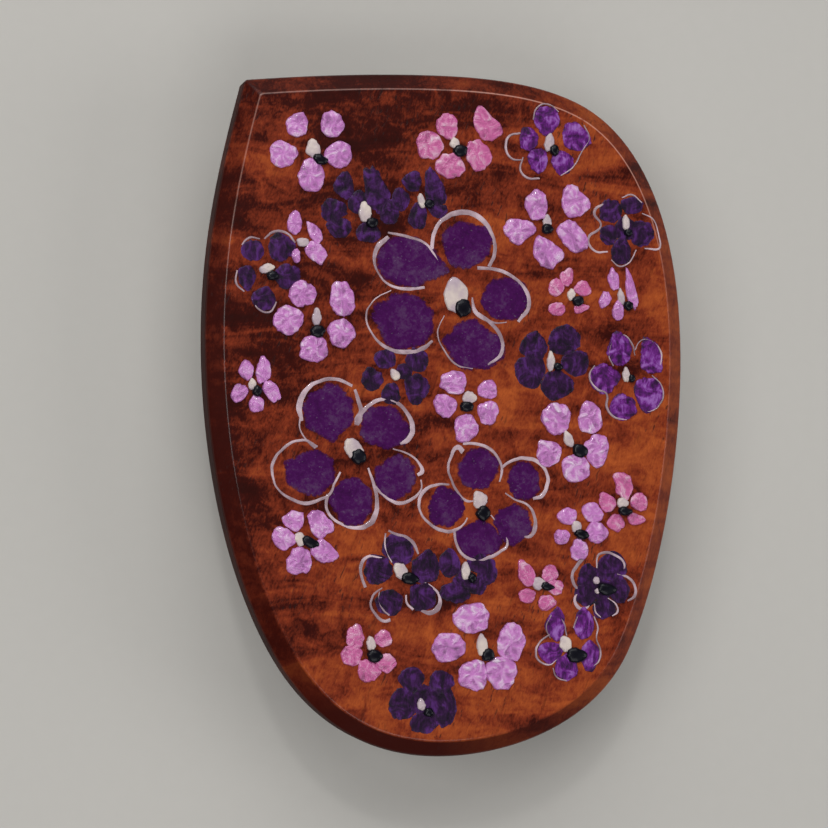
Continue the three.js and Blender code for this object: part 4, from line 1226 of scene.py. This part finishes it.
def paint_finishes(paint):
    pale_line = blended(paint.outline, WHITE, 0.15)
    thin_line = shaded(paint.outline, 0.5)
    thin_cream = shaded(tint(206, 184, 196), 0.8)
    grey_ink = shaded(paint.ink, 1.5)
    return {
        "orchid": thick_paint("orchid_paint", paint.orchid, 0.16),
        "pink": thick_paint("pink_paint", paint.pink, 0.11),
        "violet": matt_paint("violet_paint", paint.violet),
        "plum": brushed_paint("plum_paint", paint.plum, tint(92, 44, 122)),
        "iris": brushed_paint("iris_paint", paint.iris, tint(168, 116, 196)),
        "outline": plain_paint("outline_paint", pale_line, thin_line, 0.45),
        "cream": plain_paint("cream_paint", paint.cream, thin_cream, 0.4),
        "ink": plain_paint("ink_paint", grey_ink, paint.ink, 0.3, tooth=0.008, sheen=0.16),
    }


# ---- Metal and glue pieces, each a fine version of its node ----

FLAT = math.radians(0.5)  # faces that meet more shallowly than this are one face
SHARP = math.radians(40)  # edges bent more than this are rounded

# The plated pieces that are fixed to the plate, with their nodes.
PLATED = {
    "clip_bar": "base_bar",
    "pin": "hinge_pin",
    "latch_spring_web": "latch_web",
    "rivet": "latch_rivet",
}


def fine_version(name, node, body, material, edge_round):
    """A rounded-edge version of one node of the frame, which it replaces."""
    bm = bmesh.new()
    bm.from_mesh(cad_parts[node].data)
    bmesh.ops.remove_doubles(bm, verts=bm.verts, dist=0.002 * MM)
    bmesh.ops.dissolve_limit(bm, angle_limit=FLAT, verts=bm.verts, edges=bm.edges)
    sharp = [edge for edge in bm.edges if edge.is_manifold and edge.calc_face_angle() > SHARP]
    bevel(bm, sharp, edge_round, 2)
    piece = new_piece(name, bm, body, [material])
    even_shading(piece)
    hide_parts(node)
    return piece


# ---- Stage ----

AIM = Vector((-4.05 * MM, 0, 13.4 * MM))  # where the camera looks

# Each light: its place and side in metres, and its power as a share of one of the stage's powers.
LIGHTS = {
    "key_softbox": ((-0.10, 0.55, 0.50), 0.7, "key_power", 1.0),
    "left_fill": ((-0.42, 0.05, 0.58), 0.3, "fill_power", 1.0),
    "right_fill": ((0.65, -0.10, 0.40), 0.45, "fill_power", 1.0),
    "front_fill": ((0.0, -0.50, 0.60), 0.5, "fill_power", 1.3),
    "glint_lamp": ((-0.16, 0.42, 0.62), 0.06, "glint_power", 1.0),
}


def softbox(name, place, target, size, power):
    """A square area light that faces its target."""
    data = bpy.data.lights.new(name, "AREA")
    data.shape = "SQUARE"
    data.size = size
    data.energy = power
    light = bpy.data.objects.new(name, data)
    light.location = place
    light.rotation_mode = "QUATERNION"
    light.rotation_quaternion = (Vector(target) - Vector(place)).to_track_quat("-Z", "Y")
    bpy.context.scene.collection.objects.link(light)


def build_camera(stage):
    """The camera looks down a little left of the middle, from the left and slightly below."""
    turn, drop = stage.camera_turn, stage.camera_drop
    sideways = Vector((-math.sin(turn), 0, math.cos(turn))) * math.cos(drop)
    back = (sideways - Vector((0, math.sin(drop), 0))).normalized()
    data = bpy.data.cameras.new("camera")
    data.lens = stage.lens
    data.sensor_width = 36
    data.clip_start = 0.01
    data.clip_end = 20
    camera = bpy.data.objects.new("camera", data)
    right = Vector((0, 1, 0)).cross(back).normalized()
    up = back.cross(right)
    facing = Matrix((right, up, back)).transposed().to_4x4()
    camera.matrix_world = Matrix.Translation(AIM + back * stage.camera_distance) @ facing
    bpy.context.scene.collection.objects.link(camera)
    bpy.context.scene.camera = camera


def build_floor(stage):
    bm = bmesh.new()
    bmesh.ops.create_grid(bm, x_segments=1, y_segments=1, size=stage.floor_size / 2)
    bmesh.ops.translate(bm, verts=bm.verts, vec=(0, 0, CAD_BOX[0].z))
    mesh = bpy.data.meshes.new("floor")
    bm.to_mesh(mesh)
    bm.free()
    mesh.materials.append(studio_floor("studio_floor", stage.floor_tone))
    floor = bpy.data.objects.new("floor", mesh)
    bpy.context.scene.collection.objects.link(floor)


# ---- Operators, one for each piece or group of pieces ----


class BARRETTE_OT_plate(bpy.types.Operator):
    """Build the lacquered wooden plate"""

    bl_idname = "barrette.plate"
    bl_label = "Wooden plate"

    def execute(self, context):
        wood = context.scene.barrette_wood
        plate = build_plate(wood)
        piece = new_piece("lacquered_plate", plate, "plate", [figured_wood(wood)], smooth_under=25)
        even_shading(piece)
        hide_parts("wood_plate")
        return {"FINISHED"}


class BARRETTE_OT_flowers(bpy.types.Operator):
    """Paint the flowers on the plate"""

    bl_idname = "barrette.flowers"
    bl_label = "Painted flowers"

    def execute(self, context):
        plate = bpy.data.objects.get("lacquered_plate")
        if plate is None:
            raise RuntimeError("build the wooden plate before its flowers")
        paint = context.scene.barrette_paint
        finishes = paint_finishes(paint)
        painter = Painter(plate, paint)
        for name, parts in FLOWERS.items():
            painter.flower(name, parts, finishes)
        return {"FINISHED"}


class BARRETTE_OT_base(bpy.types.Operator):
    """Build what is fixed to the plate's back: glue, base bar, screws, pin, latch web and rivet"""

    bl_idname = "barrette.base"
    bl_label = "Base bar and fixings"

    def execute(self, context):
        metal = context.scene.barrette_metal
        plated = stamped_metal("plated_steel", metal.plate_tone, 0.16)
        brass = turned_brass("screw_brass", metal.brass_tone)
        glue = cured_glue("cured_epoxy", metal.glue_tone)
        fine_version("glue_bed", "epoxy_bed", "plate", glue, 2 * metal.edge_round)
        for name, node in PLATED.items():
            fine_version(name, node, "plate", plated, metal.edge_round)
        fine_round = 0.5 * metal.edge_round
        for node in ("screw_hinge_end", "screw_latch_end"):
            fine_version(f"brass_{node}", node, "plate", brass, fine_round)
        return {"FINISHED"}


class BARRETTE_OT_moving(bpy.types.Operator):
    """Build the pieces that move: clasp arm, tension bow and the latch's two prongs"""

    bl_idname = "barrette.moving"
    bl_label = "Moving pieces"

    def execute(self, context):
        metal = context.scene.barrette_metal
        plated = stamped_metal("plated_spring_arm", metal.plate_tone, 0.14)
        spring = stamped_metal("spring_steel", metal.spring_tone, 0.22)
        edge_round = metal.edge_round
        fine_version("arm", "clasp_arm", "clasp", plated, edge_round)
        fine_version("bow_strip", "tension_bow", "bow", spring, edge_round)
        for prong in ("prong_left", "prong_right"):
            fine_version(prong, f"latch_{prong}", prong, spring, edge_round)
        return {"FINISHED"}


class BARRETTE_OT_stage(bpy.types.Operator):
    """Set up the floor, lights and camera"""

    bl_idname = "barrette.stage"
    bl_label = "Stage"

    def execute(self, context):
        scene = context.scene
        stage = scene.barrette_stage
        build_floor(stage)
        middle = (0, 0, FACE_LEVEL)
        for name, (place, size, power, share) in LIGHTS.items():
            softbox(name, place, middle, size, getattr(stage, power) * share)
        world = bpy.data.worlds.new("even_sky")
        world.use_nodes = True
        sky = world.node_tree.nodes["Background"]
        sky.inputs["Color"].default_value = tint(236, 240, 246)
        sky.inputs["Strength"].default_value = stage.sky
        scene.world = world
        scene.view_settings.view_transform = "Standard"
        build_camera(stage)
        return {"FINISHED"}


class BARRETTE_PT_panel(bpy.types.Panel):
    bl_idname = "BARRETTE_PT_panel"
    bl_label = "Painted barrette"
    bl_space_type = "VIEW_3D"
    bl_region_type = "UI"
    bl_category = "Barrette"

    def draw(self, context):
        for step in STEPS:
            self.layout.operator(step.bl_idname)
        for name in GROUPS:
            group = getattr(context.scene, name)
            box = self.layout.box()
            for key in group.__annotations__:
                box.prop(group, key)


STEPS = (
    BARRETTE_OT_plate,
    BARRETTE_OT_flowers,
    BARRETTE_OT_base,
    BARRETTE_OT_moving,
    BARRETTE_OT_stage,
)
GROUPS = {
    "barrette_wood": BarretteWood,
    "barrette_paint": BarrettePaint,
    "barrette_metal": BarretteMetal,
    "barrette_stage": BarretteStage,
}
CLASSES = (*GROUPS.values(), *STEPS, BARRETTE_PT_panel)


def register():
    for kind in CLASSES:
        bpy.utils.register_class(kind)
    for name, group in GROUPS.items():
        setattr(bpy.types.Scene, name, PointerProperty(type=group))


def unregister():
    for name in GROUPS:
        delattr(bpy.types.Scene, name)
    for kind in reversed(CLASSES):
        bpy.utils.unregister_class(kind)


def main():
    register()
    bpy.ops.barrette.plate()
    bpy.ops.barrette.flowers()
    bpy.ops.barrette.base()
    bpy.ops.barrette.moving()
    bpy.ops.barrette.stage()
    bpy.context.view_layer.update()


if __name__ == "__main__":
    main()
